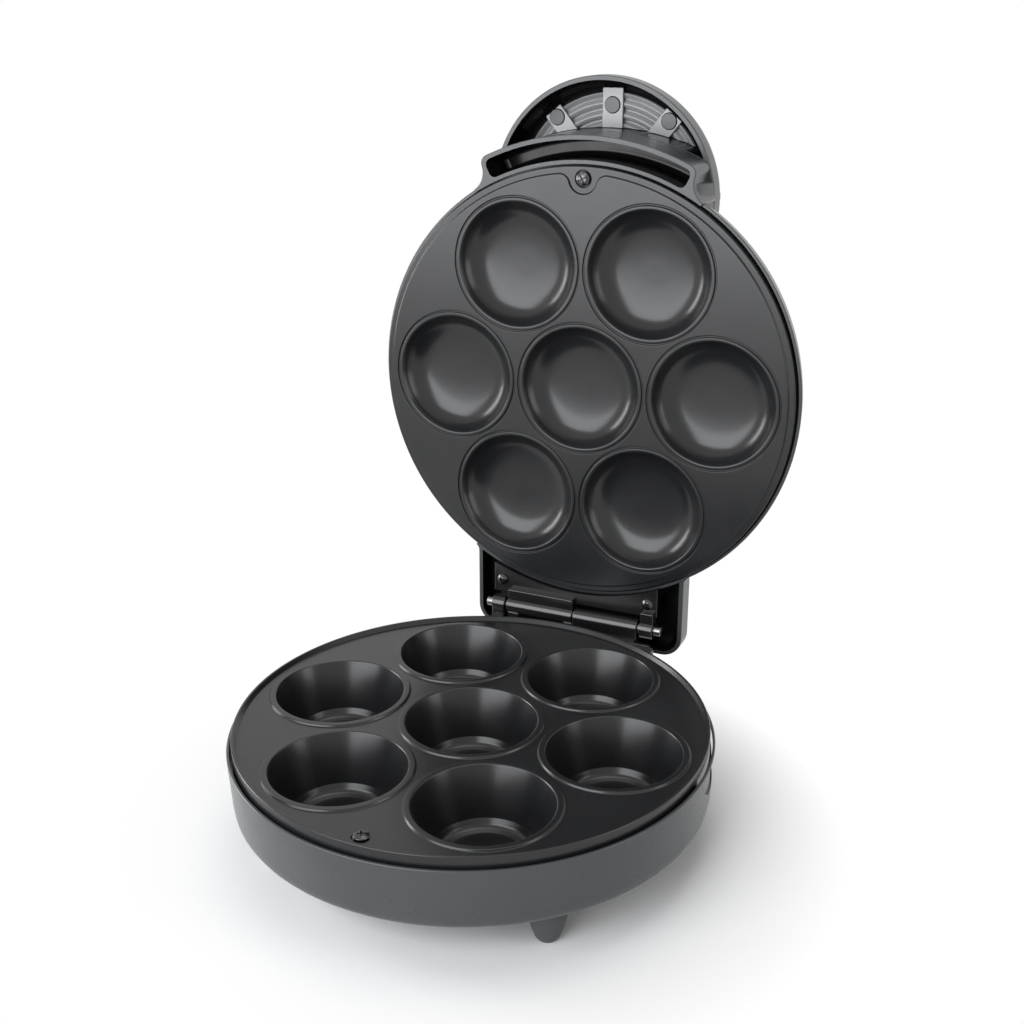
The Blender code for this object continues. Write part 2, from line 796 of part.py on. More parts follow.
def lower_plate():
    """The sheet with its lip and skirt, seven cups with beads, and the screw hole."""
    top = FACE_HEIGHT
    lip = top + LOWER_LIP_HEIGHT
    inner = PLATE_RADIUS - LOWER_SHEET
    foot = top - LOWER_SKIRT_DEPTH
    sheet = [
        (0, top),
        (LOWER_FIELD_RADIUS, top),
        (LOWER_FIELD_RADIUS + LOWER_LIP_SLOPE, lip),
        (PLATE_RADIUS - LOWER_EDGE_ROUND, lip),
        (PLATE_RADIUS, lip - LOWER_EDGE_ROUND),
        (PLATE_RADIUS, foot),
        (inner, foot),
        (inner, top - LOWER_SHEET),
        (0, top - LOWER_SHEET),
    ]
    obj = turned("lower_plate_sheet", sheet, BASE, WIDE_STEPS)
    lining = [(CUP_MOUTH_RADIUS, BEAD_HEIGHT / 2)]
    for across, up in CUP_CORNER_SHARES:
        lining.append((CUP_FLOOR_RADIUS + across * CUP_CORNER, up * CUP_CORNER - CUP_DEPTH))
    lining.append((0, -CUP_DEPTH))
    bead = CUP_MOUTH_RADIUS + BEAD_WIDTH
    shell = [(0, BEAD_HEIGHT), (bead, BEAD_HEIGHT), (bead + BEAD_SLOPE, -GAP)]
    shell += offset_line(lining, LOWER_SHEET)
    shells = repeated("cup_shells", turned("cup_shell", shell, BASE, CUP_STEPS), cup_places(top))
    hollow = [(0, OVERRUN), (CUP_MOUTH_RADIUS, OVERRUN), *lining]
    hollows = repeated("cup_hollows", turned("cup_hollow", hollow, BASE, CUP_STEPS), cup_places(top))
    fuse(obj, shells)
    cut(obj, hollows)
    hole_place = (0, -LOWER_SCREW_RADIUS, top)
    cut(obj, screw_hole("lower_plate_hole", BASE, hole_place, LOWER_SHEET + OVERRUN, OVERRUN))
    return node(obj, "lower_plate", "nonstick")


def screw_hole(name, half, place, down, up):
    """A cutter for a screw's shank, from a depth below its place to a height above it."""
    x, y, z = place
    return rod(name, SCREW_BORE, (x, y, z - down), (x, y, z + up), half, SCREW_STEPS)


def upper_plate():
    """The sheet with its stepped edge and skirt, seven dimples with grooves, and the screw notch."""
    inner = UPPER_SKIRT_RADIUS - UPPER_SHEET
    edge = UPPER_FIELD_RADIUS + UPPER_STEP_SLOPE
    sheet = [
        (0, UPPER_SHEET),
        (UPPER_FIELD_RADIUS - UPPER_STEP_SLOPE, UPPER_SHEET),
        (UPPER_FIELD_RADIUS, UPPER_SHEET + UPPER_STEP),
        (inner, UPPER_SHEET + UPPER_STEP),
        (inner, UPPER_SKIRT_DEPTH),
        (UPPER_SKIRT_RADIUS, UPPER_SKIRT_DEPTH),
        (UPPER_SKIRT_RADIUS, UPPER_STEP + LOWER_EDGE_ROUND),
        (UPPER_SKIRT_RADIUS - LOWER_EDGE_ROUND, UPPER_STEP),
        (edge, UPPER_STEP),
        (UPPER_FIELD_RADIUS, 0),
        (0, 0),
    ]
    obj = turned("upper_plate_sheet", sheet, LID, WIDE_STEPS)
    bowl = [(radius * DIMPLE_RADIUS, height * DIMPLE_DEPTH) for radius, height in DIMPLE_PROFILE_SHARES]
    bowl.reverse()
    shell = offset_line(bowl[:-2], UPPER_SHEET)
    shell.append((DIMPLE_RADIUS + UPPER_SHEET, UPPER_SHEET / 2))
    shell.append((0, UPPER_SHEET / 2))
    shells = turned("dimple_shell", shell, LID, CUP_STEPS)
    fuse(obj, repeated("dimple_shells", shells, cup_places()))
    hollow = [*bowl, (DIMPLE_RADIUS, -OVERRUN), (0, -OVERRUN)]
    hollows = turned("dimple_hollow", hollow, LID, CUP_STEPS)
    cut(obj, repeated("dimple_hollows", hollows, cup_places()))
    groove = [
        (GROOVE_RADIUS, GROOVE_DEPTH),
        (GROOVE_RADIUS + GROOVE_WIDTH, -GROOVE_DEPTH),
        (GROOVE_RADIUS - GROOVE_WIDTH, -GROOVE_DEPTH),
    ]
    grooves = turned("ring_groove", groove, LID, CUP_STEPS, ring=True)
    cut(obj, repeated("ring_grooves", grooves, cup_places()))
    notch_place = (0, -UPPER_SCREW_RADIUS)
    notch = slab("screw_notch", notch_outline(notch_place), -OVERRUN, NOTCH_DEPTH, LID)
    pad = rod("notch_pad", NOTCH_RADIUS + UPPER_SHEET, (*notch_place, UPPER_SHEET / 2),
              (*notch_place, NOTCH_DEPTH + UPPER_SHEET), LID, CUP_STEPS)
    trim = turned("notch_trim", [(0, OVERRUN), (inner - GAP, OVERRUN), (inner - GAP, 0), (0, 0)],
                  LID, WIDE_STEPS)
    fuse(obj, common(pad, trim))
    cut(obj, notch)
    hole_place = (*notch_place, NOTCH_DEPTH)
    cut(obj, screw_hole("upper_plate_hole", LID, hole_place, OVERRUN, UPPER_SHEET + OVERRUN))
    return node(obj, "upper_plate", "nonstick")


def notch_outline(centre):
    """A round tab that opens outwards past the field's edge."""
    x, y = centre
    outline = arc((x, y), NOTCH_RADIUS, -NOTCH_SIDE, math.pi + NOTCH_SIDE, 10)
    reach = UPPER_FIELD_RADIUS + UPPER_STEP_SLOPE
    half = NOTCH_RADIUS * NOTCH_FLARE_SHARE
    outline.append((x - half, -math.sqrt(reach * reach - half * half)))
    outline.append((x, -reach))
    outline.append((x + half, -math.sqrt(reach * reach - half * half)))
    return outline


# Housings


def lower_housing():
    """The bowl with its ledge, hinge block, bosses, finger recesses and holes."""
    outer = base_profile()
    obj = turned("lower_housing_outside", [(0, BASE_RIM_HEIGHT), *outer], BASE, WIDE_STEPS)
    top = FACE_HEIGHT - BLOCK_DROP
    middle = base_wall_radius(top - BLOCK_HEIGHT / 2)
    outline = blended_outline(BLOCK_HALF_WIDTH, BLOCK_BACK, BLOCK_ROUND, BLOCK_BLEND, middle)
    hinge_block = slab("hinge_block", outline, top - BLOCK_HEIGHT, top, BASE)
    fuse(obj, hinge_block)
    lining = base_profile(-BASE_WALL)
    rim = BASE_RIM_RADIUS - BASE_RIM_LIP
    ledge = rim - BASE_LEDGE_WIDTH
    under = BASE_LEDGE_HEIGHT - LEDGE_THICKNESS
    cavity = [
        (0, BASE_RIM_HEIGHT + OVERRUN),
        (rim, BASE_RIM_HEIGHT + OVERRUN),
        (rim, BASE_LEDGE_HEIGHT),
        (ledge, BASE_LEDGE_HEIGHT),
        (ledge, under),
        (lining[0][0], under - LEDGE_THICKNESS),
        *lining[1:],
    ]
    hollow = turned("lower_cavity", cavity, BASE, WIDE_STEPS)
    boss_top = LOWER_FLANGE_HEIGHT - SHIELD_SHEET - GAP
    for angle in SHIELD_SCREW_ANGLES:
        x, y = polar(SHIELD_SCREW_CIRCLE, math.radians(angle))
        cut(hollow, rod("boss", BOSS_RADIUS, (x, y, 0), (x, y, boss_top), BASE, SCREW_STEPS))
    post_top = FACE_HEIGHT - LOWER_SHEET - GAP
    post = rod("plate_post", POST_RADIUS, (0, -LOWER_SCREW_RADIUS, 0), (0, -LOWER_SCREW_RADIUS, post_top),
               BASE, SCREW_STEPS)
    cut(hollow, post)
    cut(obj, hollow)
    for angle in SHIELD_SCREW_ANGLES:
        place = polar(SHIELD_SCREW_CIRCLE, math.radians(angle), boss_top)
        cut(obj, screw_hole("boss_hole", BASE, place, SCREW_LENGTH, OVERRUN))
    place = (0, -LOWER_SCREW_RADIUS, post_top)
    cut(obj, screw_hole("post_hole", BASE, place, SCREW_LENGTH, OVERRUN))
    cut(obj, *finger_recesses(), gland_hole())
    for place in base_hinge_screw_places():
        end = place - Vector((0, BASE_PLATE_THICKNESS + SCREW_LENGTH, 0))
        cut(obj, rod("block_hole", SCREW_BORE, place, end, BASE, SCREW_STEPS))
    return node(obj, "lower_housing", "housing")


def finger_recesses():
    """Cutters for a shallow half-round recess under the rim in each side, mirrored about the middle."""
    made = []
    top = BASE_RIM_HEIGHT - RECESS_DROP
    outer = BASE_RIM_RADIUS + OVERRUN
    inner = base_wall_radius(top) - RECESS_DEPTH
    low = top - RECESS_HEIGHT - OVERRUN
    outline = []
    for x, y in arc((0, 0), 1, math.pi, 2 * math.pi, 10):
        outline.append((x * RECESS_HALF_LENGTH, y * RECESS_HEIGHT))
    for angle in (RECESS_ANGLE, math.pi - RECESS_ANGLE):
        band = [(outer, top + OVERRUN), (outer, low), (inner, low), (inner, top + OVERRUN)]
        shape = turned("finger_recess", band, BASE, WIDE_STEPS, ring=True)
        prism = slab("recess_outline", outline, BASE_RIM_RADIUS / 2, BASE_RIM_RADIUS * 2, BASE)
        prism.location = polar(BASE_RIM_RADIUS * 1.25, angle, top)
        prism.rotation_euler = (math.pi / 2, 0, angle + math.pi / 2)
        made.append(common(shape, prism))
    return made


def gland_angle():
    """The middle of the first facet of the wall that lies clear of the hinge block's blend."""
    wall = base_wall_radius(GLAND_HEIGHT)
    blend = math.acos((BLOCK_HALF_WIDTH + BLOCK_BLEND) / (wall + BLOCK_BLEND))
    clear = math.pi - blend + (GLAND_FLANGE_RADIUS + GLAND_MARGIN) / wall
    half_facet = math.pi / WIDE_STEPS
    return (2 * math.ceil(clear / half_facet / 2) + 1) * half_facet


def gland_frame():
    """The place and turn of the gland: on the outside of the wall, with local Z pointing out."""
    facet_middle = math.cos(math.pi / WIDE_STEPS)
    wall = base_wall_radius(GLAND_HEIGHT) * facet_middle
    upper = base_wall_radius(GLAND_HEIGHT + GLAND_FLANGE_RADIUS) * facet_middle
    lean = math.atan2(upper - wall, GLAND_FLANGE_RADIUS)
    return polar(wall, gland_angle(), GLAND_HEIGHT), (0, math.pi / 2 + lean, gland_angle())


def base_wall_radius(height):
    """The outside radius of the lower housing's wall at a height."""
    line = base_profile()
    for (r0, z0), (r1, z1) in zip(line, line[1:]):
        if z1 <= height <= z0:
            return r0 + (r1 - r0) * (z0 - height) / (z0 - z1)
    return BASE_RIM_RADIUS


def gland_hole():
    place, turn = gland_frame()
    radius = GLAND_NECK_RADIUS + GAP
    profile = [(0, OVERRUN), (radius, OVERRUN), (radius, -BASE_WALL - OVERRUN), (0, -BASE_WALL - OVERRUN)]
    return turned("gland_hole", profile, BASE, SMALL_STEPS, place, turn)


def upper_housing():
    """The dome with its pad, pocket frame and hinge box, hollowed from below."""
    outer = lid_profile()
    obj = turned("upper_housing_outside", [*outer, (0, LID_RIM_LIFT)], LID, WIDE_STEPS)
    pad_at = (0, -PAD_CENTRE, 0)
    pad = turned("pad_outside", [*pad_profile(), (0, PAD_BOTTOM)], LID, WIDE_STEPS, pad_at)
    frame = slab("pocket_frame", frame_outline(), FRAME_LIFT, (PAD_BOTTOM + PAD_TOP) / 2, LID)
    box = slab("box_outside", box_outline(), BOX_LIFT, BOX_TOP, LID)
    box = round_top(box, BOX_EDGE_ROUND, 3)
    fuse(obj, pad, frame, box)
    cut(obj, lid_cavity(), pad_interior(), box_cavity())
    cut(obj, slab("pocket", pocket_outline(), FRAME_LIFT - OVERRUN, POCKET_FLOOR, LID))
    cut(obj, finger_cavity())
    fuse(obj, *stakes(), *hinge_posts())
    cut(obj, *housing_holes())
    return node(obj, "upper_housing", "housing")


def plate_post():
    """The lid's post for the plate screw, from under the plate up into the pad."""
    rise = NOTCH_DEPTH + UPPER_SHEET + GAP
    place = (0, -UPPER_SCREW_RADIUS)
    return rod("lid_post", POST_RADIUS, (*place, rise), (*place, PAD_TOP * 2), LID, SCREW_STEPS)


def lid_cavity():
    """The inside of the dome, with its ledge, less the bosses and the post that stand in it."""
    lining = lid_profile(-LID_WALL)
    rim = LID_RIM_RADIUS - LID_RIM_LIP
    ledge = rim - LID_LEDGE_WIDTH
    over = LID_LEDGE_RISE + LEDGE_THICKNESS
    kept = [point for point in lining if point[1] > over + LEDGE_THICKNESS]
    cavity = [
        *kept,
        (kept[-1][0] + LID_WALL / 4, over + LEDGE_THICKNESS),
        (ledge, over),
        (ledge, LID_LEDGE_RISE),
        (rim, LID_LEDGE_RISE),
        (rim, LID_RIM_LIFT - OVERRUN),
        (0, LID_RIM_LIFT - OVERRUN),
    ]
    hollow = turned("lid_cavity", cavity, LID, WIDE_STEPS)
    boss_low = UPPER_SHIELD_FLANGE_RISE + SHIELD_SHEET + GAP
    for angle in SHIELD_SCREW_ANGLES:
        x, y = polar(SHIELD_SCREW_CIRCLE, math.radians(angle))
        cut(hollow, rod("lid_boss", BOSS_RADIUS, (x, y, boss_low), (x, y, LID_TOP), LID, SCREW_STEPS))
    return cut(hollow, plate_post())


def pad_interior():
    """The hollow above the pocket, open to the inside of the dome."""
    lining = pad_profile(-PAD_WALL)[:-1]
    floor = POCKET_FLOOR + POCKET_FLOOR_WALL
    profile = [*lining, (lining[-1][0], floor), (0, floor)]
    obj = turned("pad_interior", profile, LID, WIDE_STEPS, (0, -PAD_CENTRE, 0))
    common(obj, wall_cylinder("pad_limit", POCKET_OUTER))
    return cut(obj, plate_post())


def finger_cavity():
    """The open space under the pad, in front of the pocket's outer wall."""
    lining = pad_profile(-PAD_WALL)[:-1]
    profile = [*lining, (lining[-1][0], PAD_BOTTOM - OVERRUN), (0, PAD_BOTTOM - OVERRUN)]
    obj = turned("finger_cavity", profile, LID, WIDE_STEPS, (0, -PAD_CENTRE, 0))
    return cut(obj, wall_cylinder("front_wall_limit", FRAME_OUTER))


def wall_cylinder(name, radius, low=-OVERRUN):
    """A cylinder about the lid's middle that is taller than the lid."""
    profile = [(0, PAD_TOP * 2), (radius, PAD_TOP * 2), (radius, low), (0, low)]
    return turned(name, profile, LID, WIDE_STEPS)


def box_cavity():
    """The inside of the hinge box, behind the dome's rim."""
    obj = slab("box_cavity", box_outline(BOX_WALL), BOX_LIFT - OVERRUN, BOX_ROOF, LID)
    return cut(obj, wall_cylinder("rim_limit", LID_RIM_RADIUS))


def ceiling_height(reach):
    """The underside of the pad at a distance from the pad's middle."""
    line = pad_profile(-PAD_WALL)
    for (r0, z0), (r1, z1) in zip(line, line[1:]):
        if r0 <= reach <= r1:
            return z0 + (z1 - z0) * (reach - r0) / (r1 - r0)
    return PAD_BOTTOM


def tab_level():
    """The height of the upper face of the insert's tabs."""
    return ceiling_height(0.0) - TAB_DROP + TAB_THICKNESS


def stake_places():
    """The three stakes, as distance and turn from the front, about the pad's middle."""
    return (
        (CENTRE_STAKE_REACH, 0.0),
        (SIDE_STAKE_REACH, SIDE_TAB_TURN),
        (SIDE_STAKE_REACH, -SIDE_TAB_TURN),
    )


def pad_point(reach, turn):
    x, y = front(reach, turn)
    return x, y - PAD_CENTRE


def stakes():
    """Round stakes that hang from the pad through the insert's tabs."""
    low = tab_level() - TAB_THICKNESS - STAKE_PROUD
    made = []
    for reach, turn in stake_places():
        x, y = pad_point(reach, turn)
        top = ceiling_height(reach) + PAD_WALL / 2
        made.append(rod("stake", STAKE_RADIUS, (x, y, low), (x, y, top), LID))
    return made


def hinge_posts():
    """Posts that hang from the hinge box's roof to the back of the lid bracket's leaf."""
    return [
        rod("hinge_post", POST_RADIUS, (x, y, GAP), (x, y, BOX_ROOF + BOX_WALL / 2), LID, SCREW_STEPS)
        for x, y, z in lid_hinge_screw_places()
    ]


def housing_holes():
    """Cutters for the lid's screws and lamps."""
    made = []
    boss_low = UPPER_SHIELD_FLANGE_RISE + SHIELD_SHEET + GAP
    for angle in SHIELD_SCREW_ANGLES:
        place = polar(SHIELD_SCREW_CIRCLE, math.radians(angle), boss_low)
        made.append(screw_hole("lid_boss_hole", LID, place, OVERRUN, SCREW_LENGTH))
    place = (0, -UPPER_SCREW_RADIUS, 0)
    made.append(screw_hole("lid_post_hole", LID, place, 0, NOTCH_DEPTH + UPPER_SHEET + SCREW_LENGTH))
    for place in lid_hinge_screw_places():
        made.append(screw_hole("hinge_post_hole", LID, place, 0, SCREW_LENGTH + GAP))
    for side in (-1, 1):
        x, y = light_place(side)
        made.append(rod("light_hole", LENS_SHANK_RADIUS + GAP, (x, y, PAD_TOP / 2), (x, y, PAD_TOP * 2), LID))
    return made


# Hinge


def base_hinge_screw_places():
    """The screws' places on the rear face of the base bracket's plate."""
    back = BLOCK_BACK + GAP + BASE_PLATE_THICKNESS
    height = HINGE_HEIGHT - BARREL_RADIUS - BASE_HINGE_SCREW_DROP
    return [Vector((side * BASE_HINGE_SCREW_X, back, height)) for side in (-1, 1)]


def lid_hinge_screw_places():
    """The screws' places on the front face of the lid bracket's leaf."""
    return [(side * LID_HINGE_SCREW_X, LID_HINGE_SCREW_BACK, -LEAF_THICKNESS) for side in (-1, 1)]


def knuckle(name, start, end, axis, half):
    """A barrel about the hinge axis between two places along X."""
    back, height = axis
    return rod(name, BARREL_RADIUS, (start, back, height), (end, back, height), half, CUP_STEPS)


def pin_cutter(axis, half):
    back, height = axis
    reach = PIN_REACH + OVERRUN
    return rod("pin_bore", PIN_BORE, (-reach, back, height), (reach, back, height), half)


def base_hinge_bracket():
    """The plate on the hinge block, with the right barrel, the left ear and the lid's open stop."""
    axis = (HINGE_BACK, HINGE_HEIGHT)
    inner = BLOCK_BACK + GAP
    low = FACE_HEIGHT - BLOCK_DROP - BLOCK_HEIGHT + BASE_PLATE_INSET
    high = HINGE_HEIGHT - BARREL_RADIUS - BASE_PLATE_INSET / 3
    plate = block(
        "base_plate",
        (-EAR_END, inner, low),
        (EAR_END, inner + BASE_PLATE_THICKNESS, high),
        BASE,
    )
    step = HINGE_HEIGHT - WEB_STEP_DROP
    back = HINGE_BACK + WEB_BACK
    for name, start, end in (("barrel", BARREL_SPLIT + GAP, BARREL_END), ("ear", -EAR_END, -EAR_START)):
        foot = block(name + "_foot", (start, inner, step - WEB_DEPTH), (end, back, step), BASE)
        web_low = (start, HINGE_BACK - BARREL_RADIUS, step - WEB_DEPTH / 2)
        web = block(name + "_web", web_low, (end, back, HINGE_HEIGHT + WEB_RISE), BASE)
        fuse(plate, foot, web, knuckle(name, start, end, axis, BASE))
    shelf_top = HINGE_HEIGHT - BARREL_RADIUS - RUN_GAP / 2
    shelf_low = shelf_top - SHELF_THICKNESS
    stop_back = HINGE_BACK + STOP_REACH
    shelf = block("stop_shelf", (-STOP_END, inner, shelf_low), (-STOP_START, stop_back, shelf_top), BASE)
    stop_top = HINGE_HEIGHT - STOP_CLEARANCE
    riser_low = shelf_low + SHELF_THICKNESS / 2
    riser = block("stop_riser", (-STOP_END, stop_back - STOP_WIDTH, riser_low),
                  (-STOP_START, stop_back, stop_top), BASE)
    fuse(shelf, riser)
    fuse(plate, shelf)
    cut(plate, pin_cutter(axis, BASE))
    for place in base_hinge_screw_places():
        start = place + Vector((0, OVERRUN, 0))
        end = place - Vector((0, BASE_PLATE_THICKNESS + OVERRUN, 0))
        cut(plate, rod("plate_hole", SCREW_BORE, start, end, BASE, SCREW_STEPS))
    return node(plate, "base_hinge_bracket", "bracket")


def lid_hinge_bracket():
    """The leaf in front of the hinge box, with the left barrel and the right ear."""
    axis = (HINGE_BACK, HINGE_RISE)
    corner = (LEAF_HALF_WIDTH, LEAF_LOWER, 0)
    leaf = block("lid_leaf", (-LEAF_HALF_WIDTH, LEAF_INNER / 2, -LEAF_THICKNESS), corner, LID)
    cut(leaf, wall_cylinder("leaf_limit", LEAF_INNER, -LEAF_THICKNESS - OVERRUN))
    face = -LEAF_THICKNESS - LID_WEB_PROUD
    webs = (("lid_barrel", -BARREL_END, BARREL_SPLIT - GAP, LID_WEB_DEPTH), ("lid_ear", EAR_START, EAR_END, -face))
    for name, start, end, depth in webs:
        web = block(name + "_web", (start, LID_WEB_TOP, face), (end, HINGE_BACK, face + depth), LID)
        fuse(leaf, web, knuckle(name, start, end, axis, LID))
    cut(leaf, pin_cutter(axis, LID))
    for place in lid_hinge_screw_places():
        cut(leaf, screw_hole("leaf_hole", LID, place, OVERRUN, LEAF_THICKNESS + OVERRUN))
    return node(leaf, "lid_hinge_bracket", "bracket")


def hinge_pieces():
    base_hinge_bracket()
    lid_hinge_bracket()
    ends = (-PIN_REACH, HINGE_BACK, HINGE_HEIGHT), (PIN_REACH, HINGE_BACK, HINGE_HEIGHT)
    node(rod("pin", PIN_RADIUS, *ends, BASE), "hinge_pin", "steel")
    for place, side in zip(base_hinge_screw_places(), ("left", "right")):
        turn = (-math.pi / 2, 0, 0)
        node(screw_shape("screw", BASE, place, turn), "base_hinge_screw_" + side, "black_screw")
    for place, side in zip(lid_hinge_screw_places(), ("left", "right")):
        turn = (math.pi, 0, 0)
        node(screw_shape("screw", LID, place, turn), "lid_hinge_screw_" + side, "black_screw")


# Heating


def smooth_route(keys, steps):
    """Points along a smooth curve through the key points."""
    padded = [keys[0], *keys, keys[-1]]
    points = []
    for p0, p1, p2, p3 in zip(padded, padded[1:], padded[2:], padded[3:]):
        for i in range(steps):
            t = i / steps
            a = 2 * p1
            b = (p2 - p0) * t
            c = (2 * p0 - 5 * p1 + 4 * p2 - p3) * t * t
            d = (3 * p1 - p0 - 3 * p2 + p3) * t * t * t
            points.append((a + b + c + d) / 2)
    points.append(keys[-1])
    return points


def element(name, ring_height, lead_height, half):
    """A ring between the cups, whose two ends bend to another level and run out at the back."""
    radius = CUP_CIRCLE / 2
    x = LEAD_SPACING / 2
    climb = ring_height - lead_height
    keys = []
    for side, away, up in LEAD_BEND_SHARES:
        keys.append(Vector((x * side, radius + away * ELEMENT_RADIUS, lead_height + up * climb)))
    start = math.pi / 2 - RING_GAP_SHARE * math.asin(x / radius)
    sweep = 2 * start + math.pi
    ring = [Vector(polar(radius, start - sweep * i / RING_POINTS, ring_height)) for i in range(RING_POINTS + 1)]
    bends = smooth_route([*keys, ring[0]], 2)
    half_route = [Vector((x, LEAD_END, lead_height)), Vector((x, LEAD_SHOULDER, lead_height))]
    half_route.append(Vector((x, LEAD_SHOULDER - ELEMENT_RADIUS / 4, lead_height)))
    half_route += bends[:-1]
    mirrored = [Vector((-p.x, p.y, p.z)) for p in reversed(half_route)]
    route = [*half_route, *ring, *mirrored]
    shares = [1.0] * len(route)
    for i in (0, 1, -1, -2):
        shares[i] = PIN_SHARE
    return node(tube(name + "_tube", route, ELEMENT_RADIUS, half, shares), name, "sheath")


def shield(name, flange_height, pan_height, half, plate_screw_circle):
    """A pan whose floor lies beyond the cups, with a flange, screw holes and a slot for the leads."""
    way = 1 if flange_height > pan_height else -1
    wall = SHIELD_FLANGE_RADIUS - SHIELD_FLANGE_WIDTH
    floor = wall - SHIELD_PAN_INSET
    t = SHIELD_SHEET
    if way > 0:
        profile = [
            (0, pan_height + t),
            (floor, pan_height + t),
            (wall, flange_height),
            (SHIELD_FLANGE_RADIUS, flange_height),
            (SHIELD_FLANGE_RADIUS, flange_height - t),
            (wall + t / 2, flange_height - t),
            (floor + t / 2, pan_height),
            (0, pan_height),
        ]
    else:
        profile = [
            (0, pan_height),
            (floor + t / 2, pan_height),
            (wall + t / 2, flange_height + t),
            (SHIELD_FLANGE_RADIUS, flange_height + t),
            (SHIELD_FLANGE_RADIUS, flange_height),
            (wall, flange_height),
            (floor, pan_height - t),
            (0, pan_height - t),
        ]
    obj = turned(name + "_pan", profile, half, SHIELD_STEPS)
    low = min(flange_height, pan_height) - OVERRUN
    high = max(flange_height, pan_height) + OVERRUN
    for angle in SHIELD_SCREW_ANGLES:
        x, y = polar(SHIELD_SCREW_CIRCLE, math.radians(angle))
        cut(obj, rod("flange_hole", SCREW_BORE, (x, y, low), (x, y, high), half, SCREW_STEPS))
    y = -plate_screw_circle
    cut(obj, rod("post_notch", POST_RADIUS + RUN_GAP, (0, y, low), (0, y, high), half))
    x = LEAD_SPACING / 2 + ELEMENT_RADIUS + RUN_GAP
    slot_low, slot_high = lead_slot(flange_height, pan_height, way)
    slot = block("lead_slot", (-x, floor - OVERRUN, slot_low), (x, SHIELD_FLANGE_RADIUS + OVERRUN, slot_high), half)
    cut(obj, slot)
    return node(obj, name, "shield")


def lead_slot(flange_height, pan_height, way):
    """The heights between which a shield is open for the leads, out past its flange."""
    if way > 0:
        return FACE_HEIGHT - LOWER_LEAD_DEPTH - ELEMENT_RADIUS - RUN_GAP, flange_height + OVERRUN
    return flange_height - OVERRUN, UPPER_LEAD_RISE + ELEMENT_RADIUS + RUN_GAP


def lower_heating():
    ring = FACE_HEIGHT - LOWER_SHEET - GAP - ELEMENT_RADIUS
    element("lower_heating_element", ring, FACE_HEIGHT - LOWER_LEAD_DEPTH, BASE)
    pan = FACE_HEIGHT - CUP_DEPTH - LOWER_SHEET - SHIELD_CLEARANCE - SHIELD_SHEET
    shield("lower_heat_shield", LOWER_FLANGE_HEIGHT, pan, BASE, LOWER_SCREW_RADIUS)
    for angle, side in zip(SHIELD_SCREW_ANGLES, SHIELD_SCREW_SIDES):
        place = polar(SHIELD_SCREW_CIRCLE, math.radians(angle), LOWER_FLANGE_HEIGHT)
        node(screw_shape("screw", BASE, place), "lower_shield_screw_" + side, "steel")


def upper_heating():
    ring = UPPER_SHEET + GAP + ELEMENT_RADIUS
    element("upper_heating_element", ring, UPPER_LEAD_RISE, LID)
    pan = UPPER_LEAD_RISE + ELEMENT_RADIUS + SHIELD_CLEARANCE / 2 + SHIELD_SHEET
    shield("upper_heat_shield", UPPER_SHIELD_FLANGE_RISE, pan, LID, UPPER_SCREW_RADIUS)
    for angle, side in zip(SHIELD_SCREW_ANGLES, SHIELD_SCREW_SIDES):
        place = polar(SHIELD_SCREW_CIRCLE, math.radians(angle), UPPER_SHIELD_FLANGE_RISE)
        node(screw_shape("screw", LID, place, (math.pi, 0, 0)), "upper_shield_screw_" + side, "steel")


# Inner controls and the gland


def thermostat():
    """A snap-disc thermostat against the plate, with its two blades down."""
    top = FACE_HEIGHT - LOWER_SHEET - GAP
    x, y = polar(THERMOSTAT_CIRCLE, THERMOSTAT_ANGLE)
    body = THERMOSTAT_RADIUS * THERMOSTAT_BODY_SHARE
    profile = [
        (0, top),
        (THERMOSTAT_RADIUS, top),
        (THERMOSTAT_RADIUS, top - THERMOSTAT_CAP),
        (THERMOSTAT_RADIUS + THERMOSTAT_FLANGE, top - THERMOSTAT_CAP),
        (THERMOSTAT_RADIUS + THERMOSTAT_FLANGE, top - THERMOSTAT_CAP - THERMOSTAT_FLANGE),
        (body, top - THERMOSTAT_CAP - THERMOSTAT_FLANGE),
        (body, top - THERMOSTAT_LENGTH),
        (0, top - THERMOSTAT_LENGTH),
    ]
    obj = turned("thermostat_body", profile, BASE, SMALL_STEPS, (x, y, 0))
    for side in (-1, 1):
        middle = x + side * BLADE_SPACING / 2
        low = top - THERMOSTAT_LENGTH - BLADE_LENGTH
        corner = (middle - BLADE_THICKNESS / 2, y - BLADE_WIDTH / 2, low)
        other = (middle + BLADE_THICKNESS / 2, y + BLADE_WIDTH / 2, top - THERMOSTAT_LENGTH + OVERRUN / 2)
        fuse(obj, block("blade", corner, other, BASE))
    return node(obj, "thermostat", "ceramic")


def thermal_fuse():
    """A capsule in its sleeve against the plate, with a short lead at each end."""
    height = FACE_HEIGHT - LOWER_SHEET - GAP - FUSE_RADIUS
    along = Vector(polar(1, FUSE_ANGLE + math.pi / 2, 0))
    middle = Vector(polar(THERMOSTAT_CIRCLE, FUSE_ANGLE, height))
    taper = FUSE_RADIUS / 2
    reach = FUSE_LENGTH / 2
    stops = (-reach - FUSE_LEAD, -reach - taper, -reach, reach, reach + taper, reach + FUSE_LEAD)
    route = [middle + along * stop for stop in stops]
    shares = [FUSE_LEAD_SHARE, FUSE_LEAD_SHARE, 1.0, 1.0, FUSE_LEAD_SHARE, FUSE_LEAD_SHARE]
    return node(tube("fuse_tube", route, FUSE_RADIUS, BASE, shares), "thermal_fuse", "fuse")


